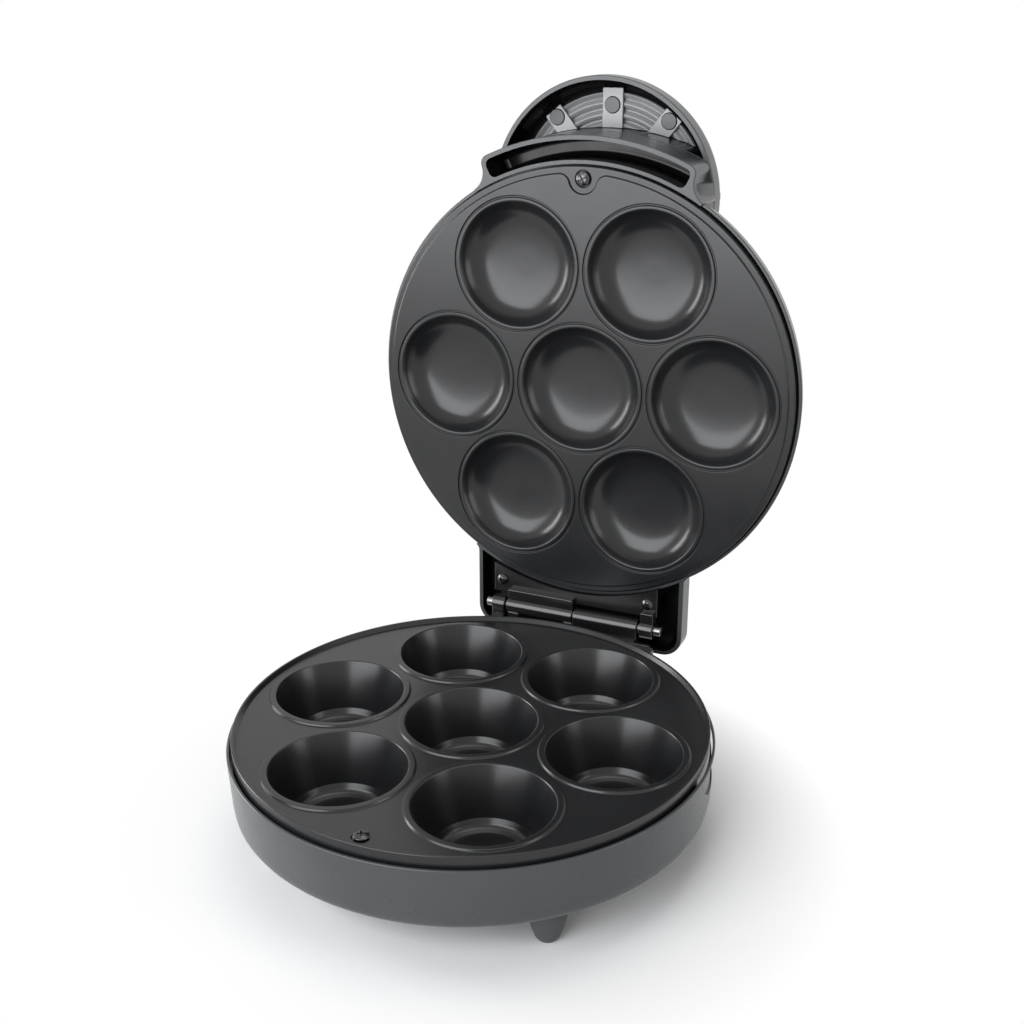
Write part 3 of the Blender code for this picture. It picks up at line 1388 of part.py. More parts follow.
def cord_gland():
    """A bushing in the back wall that a cord would pass through."""
    place, turn = gland_frame()
    flange = GAP + GLAND_FLANGE_THICKNESS
    profile = [
        (GLAND_NECK_RADIUS, flange + GLAND_NOSE),
        (GLAND_NECK_RADIUS + GLAND_FLANGE_THICKNESS / 2, flange),
        (GLAND_FLANGE_RADIUS, flange - GLAND_FLANGE_THICKNESS / 4),
        (GLAND_FLANGE_RADIUS, GAP),
        (GLAND_NECK_RADIUS, GAP),
        (GLAND_NECK_RADIUS, -BASE_WALL - GLAND_TAIL),
        (GLAND_BORE_RADIUS, -BASE_WALL - GLAND_TAIL),
        (GLAND_BORE_RADIUS, flange + GLAND_NOSE),
    ]
    obj = turned("gland_ring", profile, BASE, SMALL_STEPS, place, turn, ring=True)
    return node(obj, "cord_gland", "rubber")


def terminal_block():
    """The block that the cord's wires would end in, on the floor by the gland."""
    along = TERMINAL_LENGTH / 2
    across = TERMINAL_WIDTH / 2
    low = FLOOR_HEIGHT + GAP
    obj = block("terminal_box", (-across, -along, low), (across, along, low + TERMINAL_HEIGHT), BASE)
    obj.rotation_euler.z = gland_angle()
    x, y = polar(TERMINAL_CIRCLE, gland_angle())
    obj.location += Vector((x, y, 0))
    add_bevel(obj, TERMINAL_ROUND, 1)
    return node(obj, "terminal_block", "ceramic")


# Small outside pieces


def feet():
    """Conical feet on the diagonals, each cut to fit under the sloping bowl."""
    for angle, side in zip(FOOT_ANGLES, FOOT_SIDES):
        place = polar(FOOT_CIRCLE, math.radians(angle), 0)
        profile = [(0, FOOT_PROFILE_SHARES[0][1] * BASE_CLEARANCE)]
        profile += [(r * FOOT_RADIUS, z * BASE_CLEARANCE) for r, z in FOOT_PROFILE_SHARES]
        profile += [(FOOT_TIP, 0), (0, 0)]
        obj = turned("foot_cone", profile, BASE, SMALL_STEPS, place)
        bowl = [(0, BASE_RIM_HEIGHT), *base_profile(GAP)]
        cut(obj, turned("bowl_clearance", bowl, BASE, WIDE_STEPS))
        node(obj, "foot_" + side, "rubber")


def insert_profile():
    """The insert's section: its top follows the pad, with a rib hanging at each reach."""
    profile = []
    for reach in (INSERT_INNER, (INSERT_INNER + INSERT_OUTER) / 2, INSERT_OUTER):
        profile.append((reach, ceiling_height(reach) - GAP))
    crest = tab_level() - TAB_THICKNESS / 3
    previous = None
    for reach, half in zip(RIB_REACHES, RIB_HALF_WIDTHS):
        if previous is not None:
            valley = (previous + reach) / 2
            profile.append((valley, ceiling_height(valley) - GAP - INSERT_THICKNESS))
        profile.append((reach + half, crest + half))
        profile.append((reach, crest))
        profile.append((reach - half, crest + half))
        previous = reach
    return profile


def handle_insert():
    """Concentric ribs under the pad, crossed by three tabs with holes for the stakes."""
    pad_at = (0, -PAD_CENTRE, 0)
    obj = turned("insert_ring", insert_profile(), LID, WIDE_STEPS, pad_at, ring=True)
    level = tab_level()
    sides = (SIDE_TAB_WIDTH, SIDE_TAB_REACH)
    sizes = ((CENTRE_TAB_WIDTH, CENTRE_TAB_REACH), sides, sides)
    for (reach, turn), (width, outer) in zip(stake_places(), sizes):
        length = outer - FRAME_OUTER + PAD_CENTRE + OVERRUN
        tab = block(
            "tab",
            (-width / 2, -length / 2, level - TAB_THICKNESS),
            (width / 2, length / 2, level),
            LID,
        )
        x, y = pad_point(outer - length / 2, turn)
        tab.location += Vector((x, y, 0))
        tab.rotation_euler.z = turn
        fuse(obj, tab)
    cut(obj, wall_cylinder("insert_limit", FRAME_OUTER + GAP))
    for reach, turn in stake_places():
        x, y = pad_point(reach, turn)
        cut(obj, rod("stake_hole", STAKE_RADIUS + GAP, (x, y, PAD_BOTTOM), (x, y, PAD_TOP), LID))
    return node(obj, "handle_insert", "insert")


def light_place(side):
    x, y = side * LIGHT_X, LIGHT_REACH - PAD_CENTRE
    return x, y


def pad_height(reach):
    """The outside of the pad at a distance from its middle."""
    line = pad_profile()
    for (r0, z0), (r1, z1) in zip(line, line[1:]):
        if r0 <= reach <= r1:
            return z0 + (z1 - z0) * (reach - r0) / (r1 - r0)
    return PAD_BOTTOM


def indicator_lights():
    for side, name in ((-1, "power"), (1, "ready")):
        x, y = light_place(side)
        seat = pad_height(math.hypot(x, LIGHT_REACH) - LENS_RADIUS) + GAP
        low = seat - LENS_SHANK_LENGTH
        bore = LAMP_RADIUS + GAP
        profile = [(r * LENS_RADIUS, seat + z * LENS_PROUD) for r, z in LENS_PROFILE_SHARES]
        profile += [
            (LENS_SHANK_RADIUS, seat),
            (LENS_SHANK_RADIUS, low),
            (bore, low),
            (bore, low + LAMP_BORE_DEPTH),
            (0, low + LAMP_BORE_DEPTH),
        ]
        lens = turned("lens", profile, LID, SMALL_STEPS, (x, y, 0))
        node(lens, name + "_light_lens", "red_lens" if side < 0 else "green_lens")
        top = low + LAMP_BORE_DEPTH - GAP
        lamp = [(r * LAMP_RADIUS, top - z * LAMP_RADIUS) for r, z in LAMP_TIP_SHARES]
        lamp += [(LAMP_RADIUS, top - LAMP_LENGTH), (0, top - LAMP_LENGTH)]
        glass = turned("lamp", lamp, LID, SCREW_STEPS, (x, y, 0))
        node(glass, name + "_lamp", "lamp_glass")


def plate_screws():
    place = (0, -LOWER_SCREW_RADIUS, FACE_HEIGHT)
    head = (PLATE_SCREW_HEAD_RADIUS, PLATE_SCREW_HEAD_HEIGHT)
    node(screw_shape("screw", BASE, place, (0, 0, 0), *head), "lower_plate_screw", "black_screw")
    place = (0, -UPPER_SCREW_RADIUS, NOTCH_DEPTH)
    shape = screw_shape("screw", LID, place, (math.pi, 0, 0), *head)
    node(shape, "upper_plate_screw", "black_screw")


# Placing the whole


def centre_on_origin():
    """Move the whole so that the middle of its footprint is at the origin."""
    bpy.context.view_layer.update()
    back = []
    for obj in PIECES.objects:
        if obj.type == "MESH":
            back += [(obj.matrix_world @ vert.co).y for vert in obj.data.vertices]
    BASE_FRAME.location.y -= (min(back) + max(back)) / 2
    bpy.context.view_layer.update()


def report_places():
    """Print the places that a user of the part needs."""
    axis = LID_FRAME.matrix_world.translation
    print("lid hinge axis", [round(value, 5) for value in axis])
    print("base centre", [round(value, 5) for value in BASE_FRAME.matrix_world.translation])


lower_housing()
lower_plate()
lower_heating()
feet()
thermostat()
thermal_fuse()
terminal_block()
cord_gland()
upper_housing()
upper_plate()
upper_heating()
handle_insert()
indicator_lights()
plate_screws()
hinge_pieces()
centre_on_origin()
report_places()
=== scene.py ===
"""Looks for the cupcake maker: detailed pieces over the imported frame, materials, light and camera.

Shapes are drawn in millimetres. Base pieces start from the table under the centre cup.
Lid pieces are drawn closed, from the centre of the upper plate's face, and are placed open.
"""

import json
import math

import bmesh
import bpy
from mathutils import Matrix, Vector


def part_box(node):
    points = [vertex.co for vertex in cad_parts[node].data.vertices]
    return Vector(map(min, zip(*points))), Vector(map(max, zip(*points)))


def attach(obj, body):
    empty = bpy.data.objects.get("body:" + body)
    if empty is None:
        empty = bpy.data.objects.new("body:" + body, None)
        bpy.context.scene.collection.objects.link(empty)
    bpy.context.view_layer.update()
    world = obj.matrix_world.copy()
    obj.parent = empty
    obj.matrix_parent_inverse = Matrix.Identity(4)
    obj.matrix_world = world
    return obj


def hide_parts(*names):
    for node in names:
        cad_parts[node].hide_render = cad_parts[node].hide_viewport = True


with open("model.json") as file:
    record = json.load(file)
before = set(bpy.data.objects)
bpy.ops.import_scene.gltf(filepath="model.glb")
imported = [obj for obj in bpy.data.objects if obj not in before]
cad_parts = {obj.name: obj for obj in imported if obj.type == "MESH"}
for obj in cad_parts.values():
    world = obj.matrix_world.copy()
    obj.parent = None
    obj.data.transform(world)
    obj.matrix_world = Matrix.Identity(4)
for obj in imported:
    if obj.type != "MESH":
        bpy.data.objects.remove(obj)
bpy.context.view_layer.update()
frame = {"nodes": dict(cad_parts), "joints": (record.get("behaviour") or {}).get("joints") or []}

# Facets round each turned shape
WIDE = 176
ROUND = 72
SMALL = 28

# A radius below this is on the axis, and points nearer than this are welded
ON_AXIS, WELD = 1e-6, 0.003

# Face of the lower plate, and the hinge's place behind the centre, over the table and from the lid
FACE_Z = 51.5
HINGE_Y, HINGE_Z, HINGE_H = 120.9, 51.0, -3.5
LID_OPEN = math.radians(90.9)

# Distances from the centre of the plates: the cups, the plate screws and the handle pad
PITCH = 68.0
LOWER_SCREW_REACH, UPPER_SCREW_REACH = 98.5, 101.6
PAD_Y = 89.9

low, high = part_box("lower_plate")
BASE_PLACE = Matrix.Translation(((low.x + high.x) / 2, (low.y + high.y) / 2, 0))
AXIS = Vector(frame["joints"][0]["pos_m"])
LID_PLACE = Matrix.Translation(AXIS) @ Matrix.Rotation(-LID_OPEN, 4, "X")
MM = Matrix.Scale(0.001, 4)
SPACES = {
    "base": BASE_PLACE @ MM,
    "lid": LID_PLACE @ MM @ Matrix.Translation((0, -HINGE_Y, -HINGE_H)),
}


# Materials

# The band of a noise that a ramp spreads over its whole range, and the depth of the finest grain
NOISE_LOW, NOISE_HIGH = 0.3, 0.7
FINE = 0.000005


class Nodes:
    """A small builder for one node material."""

    def __init__(self, name):
        self.material = bpy.data.materials.new(name)
        self.material.use_nodes = True
        self.tree = self.material.node_tree
        self.shader = self.tree.nodes["Principled BSDF"]
        self.place = self.add("ShaderNodeTexCoord").outputs["Object"]

    def add(self, kind, **values):
        made = self.tree.nodes.new(kind)
        for key, value in values.items():
            setattr(made, key, value)
        return made

    def link(self, source, target):
        self.tree.links.new(source, target)

    def set(self, **values):
        for key, value in values.items():
            self.shader.inputs[key.replace("_", " ")].default_value = value

    def noise(self, scale, detail, stretch=None):
        made = self.add("ShaderNodeTexNoise")
        made.inputs["Scale"].default_value = scale
        made.inputs["Detail"].default_value = detail
        made.inputs["Roughness"].default_value = 0.5
        source = self.place
        if stretch:
            mapping = self.add("ShaderNodeMapping")
            mapping.inputs["Scale"].default_value = stretch
            self.link(source, mapping.inputs["Vector"])
            source = mapping.outputs["Vector"]
        self.link(source, made.inputs["Vector"])
        return made.outputs["Fac"]

    def ramp(self, source, low, high, to_low, to_high):
        made = self.add("ShaderNodeMapRange")
        made.inputs["From Min"].default_value = low
        made.inputs["From Max"].default_value = high
        made.inputs["To Min"].default_value = to_low
        made.inputs["To Max"].default_value = to_high
        self.link(source, made.inputs["Value"])
        return made.outputs["Result"]

    def roughness(self, source, low, high):
        ramp = self.ramp(source, NOISE_LOW, NOISE_HIGH, low, high)
        self.link(ramp, self.shader.inputs["Roughness"])

    def colours(self, source, first, second):
        made = self.add("ShaderNodeValToRGB")
        made.color_ramp.elements[0].position = NOISE_LOW
        made.color_ramp.elements[0].color = (*first, 1)
        made.color_ramp.elements[1].position = NOISE_HIGH
        made.color_ramp.elements[1].color = (*second, 1)
        self.link(source, made.inputs["Fac"])
        self.link(made.outputs["Color"], self.shader.inputs["Base Color"])

    def bump(self, source, depth):
        made = self.add("ShaderNodeBump")
        made.inputs["Strength"].default_value = 1.0
        made.inputs["Distance"].default_value = depth
        self.link(source, made.inputs["Height"])
        self.link(made.outputs["Normal"], self.shader.inputs["Normal"])


def satin(name, first, second, rough, spread=0.05, grain=1400, depth=0.00002, **extra):
    """Moulded or coated satin: mottled tone, uneven sheen and a fine grain."""
    made = Nodes(name)
    made.colours(made.noise(38, 4), first, second)
    made.roughness(made.noise(95, 5), rough - spread, rough + spread)
    made.bump(made.noise(grain, 2), depth)
    made.set(**extra)
    return made.material


def metal(name, first, second, rough, stretch=(1, 1, 1)):
    """Drawn or pressed metal, whose grain can run along one axis."""
    grain = 600
    made = Nodes(name)
    made.colours(made.noise(120, 3, stretch=stretch), first, second)
    made.roughness(made.noise(grain, 3, stretch=stretch), rough - 0.07, rough + 0.08)
    made.bump(made.noise(grain * 2, 2, stretch=stretch), 0.00001)
    made.set(Metallic=1.0)
    return made.material


def lens(name, colour, deep):
    """Tinted see-through plastic or glass."""
    made = Nodes(name)
    made.colours(made.noise(300, 2), colour, deep)
    made.roughness(made.noise(500, 2), 0.06, 0.14)
    made.set(Transmission_Weight=0.55, IOR=1.49)
    return made.material


MATERIALS = {
    "housing": satin(
        "housing_grey", (0.038, 0.041, 0.044), (0.044, 0.047, 0.05), 0.29, 0.025, 2600, FINE
    ),
    # Unpainted black plastic inside the housings; on the screws' cross recesses it is painted shade
    "inner": satin(
        "inner_black_and_recess_shade",
        (0.004, 0.004, 0.0045),
        (0.006, 0.006, 0.0065),
        0.2,
        grain=2000,
        depth=FINE,
        IOR=1.34,
    ),
    "nonstick": satin(
        "nonstick_coating",
        (0.009, 0.0094, 0.0102),
        (0.012, 0.0124, 0.0132),
        0.24,
        0.015,
        grain=1800,
        depth=FINE,
        IOR=1.47,
    ),
    "bracket": satin(
        "bracket_black",
        (0.007, 0.007, 0.0075),
        (0.01, 0.01, 0.0105),
        0.19,
        0.03,
        grain=1500,
        depth=FINE,
        IOR=1.55,
    ),
    "insert": satin(
        "insert_grey",
        (0.235, 0.238, 0.245),
        (0.262, 0.265, 0.272),
        0.24,
        grain=2200,
        depth=0.000008,
        IOR=1.6,
    ),
    "disc": satin("disc_grey", (0.075, 0.077, 0.081), (0.09, 0.092, 0.096), 0.4, grain=2200),
    "rubber": satin(
        "foot_rubber", (0.04, 0.042, 0.043), (0.052, 0.054, 0.055), 0.62, grain=1600, depth=0.00004
    ),
    "gland": satin(
        "gland_rubber", (0.016, 0.016, 0.017), (0.024, 0.024, 0.025), 0.6, grain=1600, depth=0.00004
    ),
    "screw": metal("screw_black", (0.06, 0.06, 0.062), (0.09, 0.09, 0.093), 0.22),
    "steel": metal("pin_steel", (0.16, 0.16, 0.165), (0.24, 0.24, 0.245), 0.3, (1, 6, 6)),
    "sheath": metal("heater_sheath", (0.16, 0.14, 0.12), (0.3, 0.27, 0.24), 0.45),
    "shield": metal("shield_sheet", (0.55, 0.56, 0.57), (0.7, 0.71, 0.72), 0.38),
    "ceramic": satin("ceramic", (0.62, 0.6, 0.55), (0.7, 0.68, 0.62), 0.5),
    "fuse": satin(
        "fuse_sleeve", (0.42, 0.34, 0.2), (0.55, 0.46, 0.3), 0.75, grain=3000, depth=0.00008
    ),
    "red": lens("lens_red", (0.55, 0.03, 0.015), (0.4, 0.015, 0.01)),
    "green": lens("lens_green", (0.03, 0.4, 0.07), (0.015, 0.28, 0.04)),
    "lamp": lens("lamp_glass", (0.9, 0.6, 0.35), (0.8, 0.5, 0.3)),
}


# Shapes


def softened(points, closed=False, steps=4):
    """A polyline whose corners are rounded by the third number of each point."""
    count = len(points)
    made = []
    for i, point in enumerate(points):
        radius = point[2] if len(point) > 2 else 0.0
        if radius <= 0 or (not closed and i in (0, count - 1)):
            made.append((point[0], point[1]))
            continue
        here = Vector(point[:2])
        before = Vector(points[i - 1][:2]) - here
        after = Vector(points[(i + 1) % count][:2]) - here
        angle = before.angle(after)
        if angle > math.radians(179):
            made.append((point[0], point[1]))
            continue
        reach = min(radius / math.tan(angle / 2), before.length * 0.48, after.length * 0.48)
        radius = reach * math.tan(angle / 2)
        start = here + before.normalized() * reach
        end = here + after.normalized() * reach
        middle = (before.normalized() + after.normalized()).normalized()
        centre = here + middle * (radius / math.sin(angle / 2))
        first, last = start - centre, end - centre
        turn = first.angle_signed(last)
        for k in range(steps + 1):
            spun = Matrix.Rotation(-turn * k / steps, 2) @ first
            made.append(tuple(centre + spun))
    return made


def smooth_line(keys, steps):
    """A smooth curve through key points, which doesn't cross the axis."""
    keys = [Vector(k) for k in keys]
    padded = [keys[0] * 2 - keys[1], *keys, keys[-1] * 2 - keys[-2]]
    points = []
    for p0, p1, p2, p3 in zip(padded, padded[1:], padded[2:], padded[3:]):
        for i in range(steps):
            t = i / steps
            square = 2 * p0 - 5 * p1 + 4 * p2 - p3
            cube = 3 * p1 - p0 - 3 * p2 + p3
            points.append((2 * p1 + (p2 - p0) * t + square * t * t + cube * t**3) / 2)
    points.append(keys[-1])
    return [(max(p.x, 0.0), p.y) for p in points]


def arc(centre, radius, start, end, steps):
    """Points along an arc, with both its ends."""
    turns = [start + (end - start) * i / steps for i in range(steps + 1)]
    return [(centre[0] + radius * math.cos(a), centre[1] + radius * math.sin(a)) for a in turns]


def polar(radius, angle):
    """A point at an angle from the right."""
    return radius * math.cos(angle), radius * math.sin(angle)


def front(radius, turn):
    """A point at a turn from the front."""
    return radius * math.sin(turn), -radius * math.cos(turn)


def new_object(name, mesh, material):
    obj = bpy.data.objects.new(name, mesh)
    bpy.context.scene.collection.objects.link(obj)
    mesh.materials.append(MATERIALS[material])
    return obj


def turned(name, profile, steps, material, centre=(0, 0), closed=False):
    """Turn a profile of (radius, height) points, which runs down its outer side."""
    points, faces, rings = [], [], []
    for radius, height in profile:
        if radius < ON_AXIS:
            rings.append([len(points)] * steps)
            points.append((centre[0], centre[1], height))
            continue
        rings.append(list(range(len(points), len(points) + steps)))
        for j in range(steps):
            x, y = polar(radius, 2 * math.pi * j / steps)
            points.append((centre[0] + x, centre[1] + y, height))
    pairs = list(zip(rings, rings[1:]))
    if closed:
        pairs.append((rings[-1], rings[0]))
    for upper, lower in pairs:
        for j in range(steps):
            k = (j + 1) % steps
            face = []
            for v in (upper[j], lower[j], lower[k], upper[k]):
                if v not in face:
                    face.append(v)
            if len(face) > 2:
                faces.append(face)
    mesh = bpy.data.meshes.new(name)
    mesh.from_pydata(points, [], faces)
    return new_object(name, mesh, material)


def inset(outline, distance):
    """A closed outline moved inwards along its normals."""
    moved = []
    count = len(outline)
    for i, (x, y) in enumerate(outline):
        ax, ay = outline[i - 1]
        bx, by = outline[(i + 1) % count]
        e1 = Vector((x - ax, y - ay))
        e2 = Vector((bx - x, by - y))
        if e1.length < 1e-9 or e2.length < 1e-9:
            moved.append((x, y))
            continue
        n1 = Vector((-e1.y, e1.x)).normalized()
        n2 = Vector((-e2.y, e2.x)).normalized()
        n = n1 + n2
        n = n * (2 / max(n.length_squared, 0.5))
        moved.append((x + n.x * distance, y + n.y * distance))
    return moved


def prism(name, outline, bottom, top, material, top_round=0.0, bottom_round=0.0, steps=4):
    """An outline, counter-clockwise, extruded between two heights, with rounded rims."""
    rings = []
    if bottom_round:
        for k in range(steps + 1):
            a = math.pi / 2 * (1 - k / steps)
            ring = inset(outline, bottom_round * (1 - math.cos(a)))
            rings.append((ring, bottom + bottom_round * (1 - math.sin(a))))
    else:
        rings.append((outline, bottom))
    if top_round:
        for k in range(steps + 1):
            a = math.pi / 2 * k / steps
            ring = inset(outline, top_round * (1 - math.cos(a)))
            rings.append((ring, top - top_round * (1 - math.sin(a))))
    else:
        rings.append((outline, top))
    count = len(outline)
    points = [(x, y, z) for ring, z in rings for x, y in ring]
    faces = [list(reversed(range(count)))]
    for r in range(len(rings) - 1):
        for i in range(count):
            j = (i + 1) % count
            faces.append([r * count + i, r * count + j, (r + 1) * count + j, (r + 1) * count + i])
    faces.append([(len(rings) - 1) * count + i for i in range(count)])
    mesh = bpy.data.meshes.new(name)
    mesh.from_pydata(points, [], faces)
    return new_object(name, mesh, material)


def box(name, low, high, material, rounding):
    """A block between two corners, with all its edges rounded."""
    fillet = rounding * 1.6
    corners = [(low[0], low[1]), (high[0], low[1]), (high[0], high[1]), (low[0], high[1])]
    outline = softened([(x, y, fillet) for x, y in corners], True, 4)
    return prism(name, outline, low[2], high[2], material, rounding, rounding, 3)


def rod(name, radius, start, end, material, steps=SMALL, rim=0.0):
    """A cylinder between two points, with rounded rims."""
    start = Vector(start)
    along = Vector(end) - start
    profile = softened([(0, along.length), (radius, along.length, rim), (radius, 0, rim), (0, 0)])
    obj = turned(name, profile, steps, material)
    turn = Vector((0, 0, 1)).rotation_difference(along).to_matrix().to_4x4()
    obj.data.transform(Matrix.Translation(start) @ turn)
    return obj


def boolean(obj, others, operation):
    """Apply Booleans one by one, and weld near points; a cutter's faces keep its material."""
    for other in others:
        modifier = obj.modifiers.new("b", "BOOLEAN")
        modifier.operation = operation
        modifier.solver = "EXACT"
        modifier.material_mode = "TRANSFER"
        modifier.object = other
        graph = bpy.context.evaluated_depsgraph_get()
        mesh = bpy.data.meshes.new_from_object(obj.evaluated_get(graph))
        obj.modifiers.clear()
        obj.data = mesh
        bpy.data.objects.remove(other)
        mended = bmesh.new()
        mended.from_mesh(mesh)
        bmesh.ops.remove_doubles(mended, verts=mended.verts, dist=WELD)
        bmesh.ops.dissolve_degenerate(mended, dist=WELD, edges=mended.edges)
        mended.to_mesh(mesh)
        mended.free()
    return obj


def cut(obj, *others):
    return boolean(obj, others, "DIFFERENCE")


def fuse(obj, *others):
    return boolean(obj, others, "UNION")


def common(obj, other):
    return boolean(obj, (other,), "INTERSECT")


def piece(obj, name, body, slot, *nodes, sharp=38, place=None):
    """Place a finished shape in the world, shade it, and let it ride on its body."""
    obj.name = name
    obj.data.name = name
    obj.data.transform(SPACES[body] @ place if place else SPACES[body])
    obj.data.shade_smooth()
    obj.data.set_sharp_from_angle(angle=math.radians(sharp))
    weighted = obj.modifiers.new("even_shading", "WEIGHTED_NORMAL")
    weighted.keep_sharp = True
    weighted.weight = 50
    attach(obj, body)
    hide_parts(*nodes)


def cup_places():
    """The centre cup and the six round it."""
    return [(0, 0)] + [polar(PITCH, math.pi * i / 3) for i in range(6)]


# Plates


def field(bm, loops):
    """Fill the flat field between an outer loop and the loops of the cups."""
    edges = []
    for loop in loops:
        for a, b in zip(loop, loop[1:] + loop[:1]):
            edges.append(bm.edges.get((a, b)) or bm.edges.new((a, b)))
    bmesh.ops.triangle_fill(bm, use_beauty=True, use_dissolve=False, edges=edges)


def ring_loops(bm, outline_rings):
    """Bridge closed loops of equal length, given as lists of points; return their vertices."""
    loops = [[bm.verts.new(point) for point in ring] for ring in outline_rings]
    for upper, lower in zip(loops, loops[1:]):
        for i in range(len(upper)):
            j = (i + 1) % len(upper)
            bm.faces.new((upper[i], lower[i], lower[j], upper[j]))
    return loops


def round_loops(bm, profile, steps, centre):
    """Turn a profile round a centre, and close it if it ends on its axis."""
    turns = [2 * math.pi * j / steps for j in range(steps)]
    rings = []
    for radius, height in profile:
        if radius < ON_AXIS:
            break
        ring = [polar(radius, turn) for turn in turns]
        rings.append([(centre[0] + x, centre[1] + y, height) for x, y in ring])
    loops = ring_loops(bm, rings)
    if profile[-1][0] < ON_AXIS:
        pole = bm.verts.new((*centre, profile[-1][1]))
        last = loops[-1]
        for i in range(len(last)):
            bm.faces.new((last[i], pole, last[(i + 1) % len(last)]))
    return loops


def plate_object(name, bm, flip):
    """Turn the filled faces outwards, and mirror the plate for the lid."""
    bm.normal_update()
    for face in bm.faces:
        if face.normal.z < -0.999 and len(face.verts) == 3:
            face.normal_flip()
    if flip:
        for vert in bm.verts:
            vert.co.z = -vert.co.z
        bmesh.ops.reverse_faces(bm, faces=bm.faces)
    mesh = bpy.data.meshes.new(name)
    bm.to_mesh(mesh)
    bm.free()
    return new_object(name, mesh, "nonstick")


def lower_plate():
    """The field with beaded cups and a screw seat, the raised lip round it and the skirt."""
    bm = bmesh.new()
    z = FACE_Z
    lip, skirt = z + 1.8, z - 8.0
    rim = softened(
        [
            (103.0, z),
            (103.5, z, 0.5),
            (105.0, lip, 0.45),
            (106.2, lip, 0.45),
            (106.2, skirt, 0.2),
            (104.3, skirt),
        ]
    )
    outer = round_loops(bm, rim, WIDE, (0, 0))
    bead, floor_z = z + 0.9, z - 24.9
    cup = softened(
        [
            (33.7, z),
            (32.85, z, 0.5),
            (32.45, bead, 0.45),
            (29.75, bead, 0.75),
            (22.4, z - 20.8, 2.5),
            (20.4, z - 24.0, 3.5),
            (17.0, floor_z, 3.0),
            (0.0, floor_z),
        ],
        steps=6,
    )
    seat = z - 0.8
    pit = softened([(4.3, z), (4.0, z, 0.25), (3.9, seat, 0.25), (0, seat)])
    loops = [outer[0]]
    loops += [round_loops(bm, cup, ROUND, place)[0] for place in cup_places()]
    loops.append(round_loops(bm, pit, SMALL, (0, -LOWER_SCREW_REACH))[0])
    field(bm, loops)
    plate = plate_object("lower_plate_coated", bm, False)
    piece(plate, "lower_plate_coated", "base", "nonstick", "lower_plate")


def rising(first, last):
    """Two angles, the second at or above the first."""
    first, last = first % (2 * math.pi), last % (2 * math.pi)
    return (first, last) if last >= first else (first, last + 2 * math.pi)


def notch_path():
    """The raised field's outline, with the round notch at the front that holds the screw."""
    reach, radius, blend = 104.2, 7.2, 5.0
    away = UPPER_SCREW_REACH
    centre = Vector((0, -away))
    y = ((radius + blend) ** 2 - (reach - blend) ** 2 - away**2) / (2 * away)
    x = math.sqrt((reach - blend) ** 2 - y * y)
    start = math.atan2(y, x)
    end = start + 2 * math.pi - 2 * (start + math.pi / 2)
    outline = arc((0, 0), reach, start, end, WIDE)
    left, right = Vector((-x, y)), Vector((x, y))
    to_notch = centre - left
    turns = rising(math.atan2(y, -x), math.atan2(to_notch.y, to_notch.x))
    outline += arc(left, blend, *turns, 10)[1:]
    opening = math.atan2(left.y - centre.y, left.x - centre.x)
    outline += arc(centre, radius, opening, math.pi - opening, 20)[1:]
    turns = rising(math.atan2(centre.y - right.y, centre.x - right.x), math.atan2(y, x))
    outline += arc(right, blend, *turns, 10)[1:-1]
    return outline


def upper_plate():
    """The raised field with seven dimples, each with a bead and a groove, its notch and flange."""
    bm = bmesh.new()
    flange_z, skirt = -1.0, -7.9
    edge = softened([(0.9, 0.0), (0.15, 0.0, 0.6), (-0.4, flange_z, 0.35), (-0.8, flange_z)])
    outline = notch_path()
    rings = [[(x, y, height) for x, y in inset(outline, distance)] for distance, height in edge]
    raised = ring_loops(bm, rings)
    flange = softened(
        [(106.3, flange_z), (107.4, flange_z, 0.8), (107.4, skirt, 0.2), (105.9, skirt)]
    )
    outer = round_loops(bm, flange, WIDE, (0, 0))
    bowl_start, bowl_floor = (30.0, -1.2), (0.0, -11.1)
    groove_and_bead = softened(
        [
            (33.95, 0.0),
            (33.45, 0.0, 0.25),
            (33.15, -0.75, 0.25),
            (32.6, -0.75, 0.25),
            (32.2, 0.12, 0.45),
            (30.75, 0.12, 0.8),
            bowl_start,
        ]
    )
    bowl_keys = [
        bowl_start,
        (28.8, -3.3),
        (26.8, -5.9),
        (24.1, -8.1),
        (20.8, -9.6),
        (16.8, -10.4),
        (9.0, -10.95),
        bowl_floor,
    ]
    dimple = groove_and_bead[:-1] + smooth_line(bowl_keys, 7)[:-1] + [bowl_floor]
    loops = [raised[0]]
    loops += [round_loops(bm, dimple, ROUND, place)[0] for place in cup_places()]
    field(bm, loops)
    seat = -2.2
    pit = softened([(4.5, flange_z), (4.2, flange_z, 0.25), (4.05, seat, 0.3), (0, seat)])
    pit_loops = round_loops(bm, pit, SMALL, (0, -UPPER_SCREW_REACH))
    field(bm, [outer[0], raised[-1], pit_loops[0]])
    plate = plate_object("upper_plate_coated", bm, True)
    piece(plate, "upper_plate_coated", "lid", "nonstick", "upper_plate")


# Lower housing and feet

# Radius and height along the bowl's outside, as shares of its rim and its rise, and the fillets
BASE_SHARES = (
    (1.0, 1.0),
    (0.989, 0.41),
    (0.985, 0.33),
    (0.973, 0.267),
    (0.949, 0.22),
    (0.839, 0.013),
    (0.8, 0.0),
    (0.0, 0.0),
)
BASE_FILLETS = (0, 0, 0, 6, 8, 5, 5, 0)
BASE_RADIUS, BASE_BOTTOM, BASE_RISE, BASE_TOP = 108.5, 10.5, 37.8, 48.3
FOOT_CIRCLE = 91
GLAND_TURN = Matrix.Rotation(math.radians(135), 4, "Z")
GLAND_HEIGHT = 32


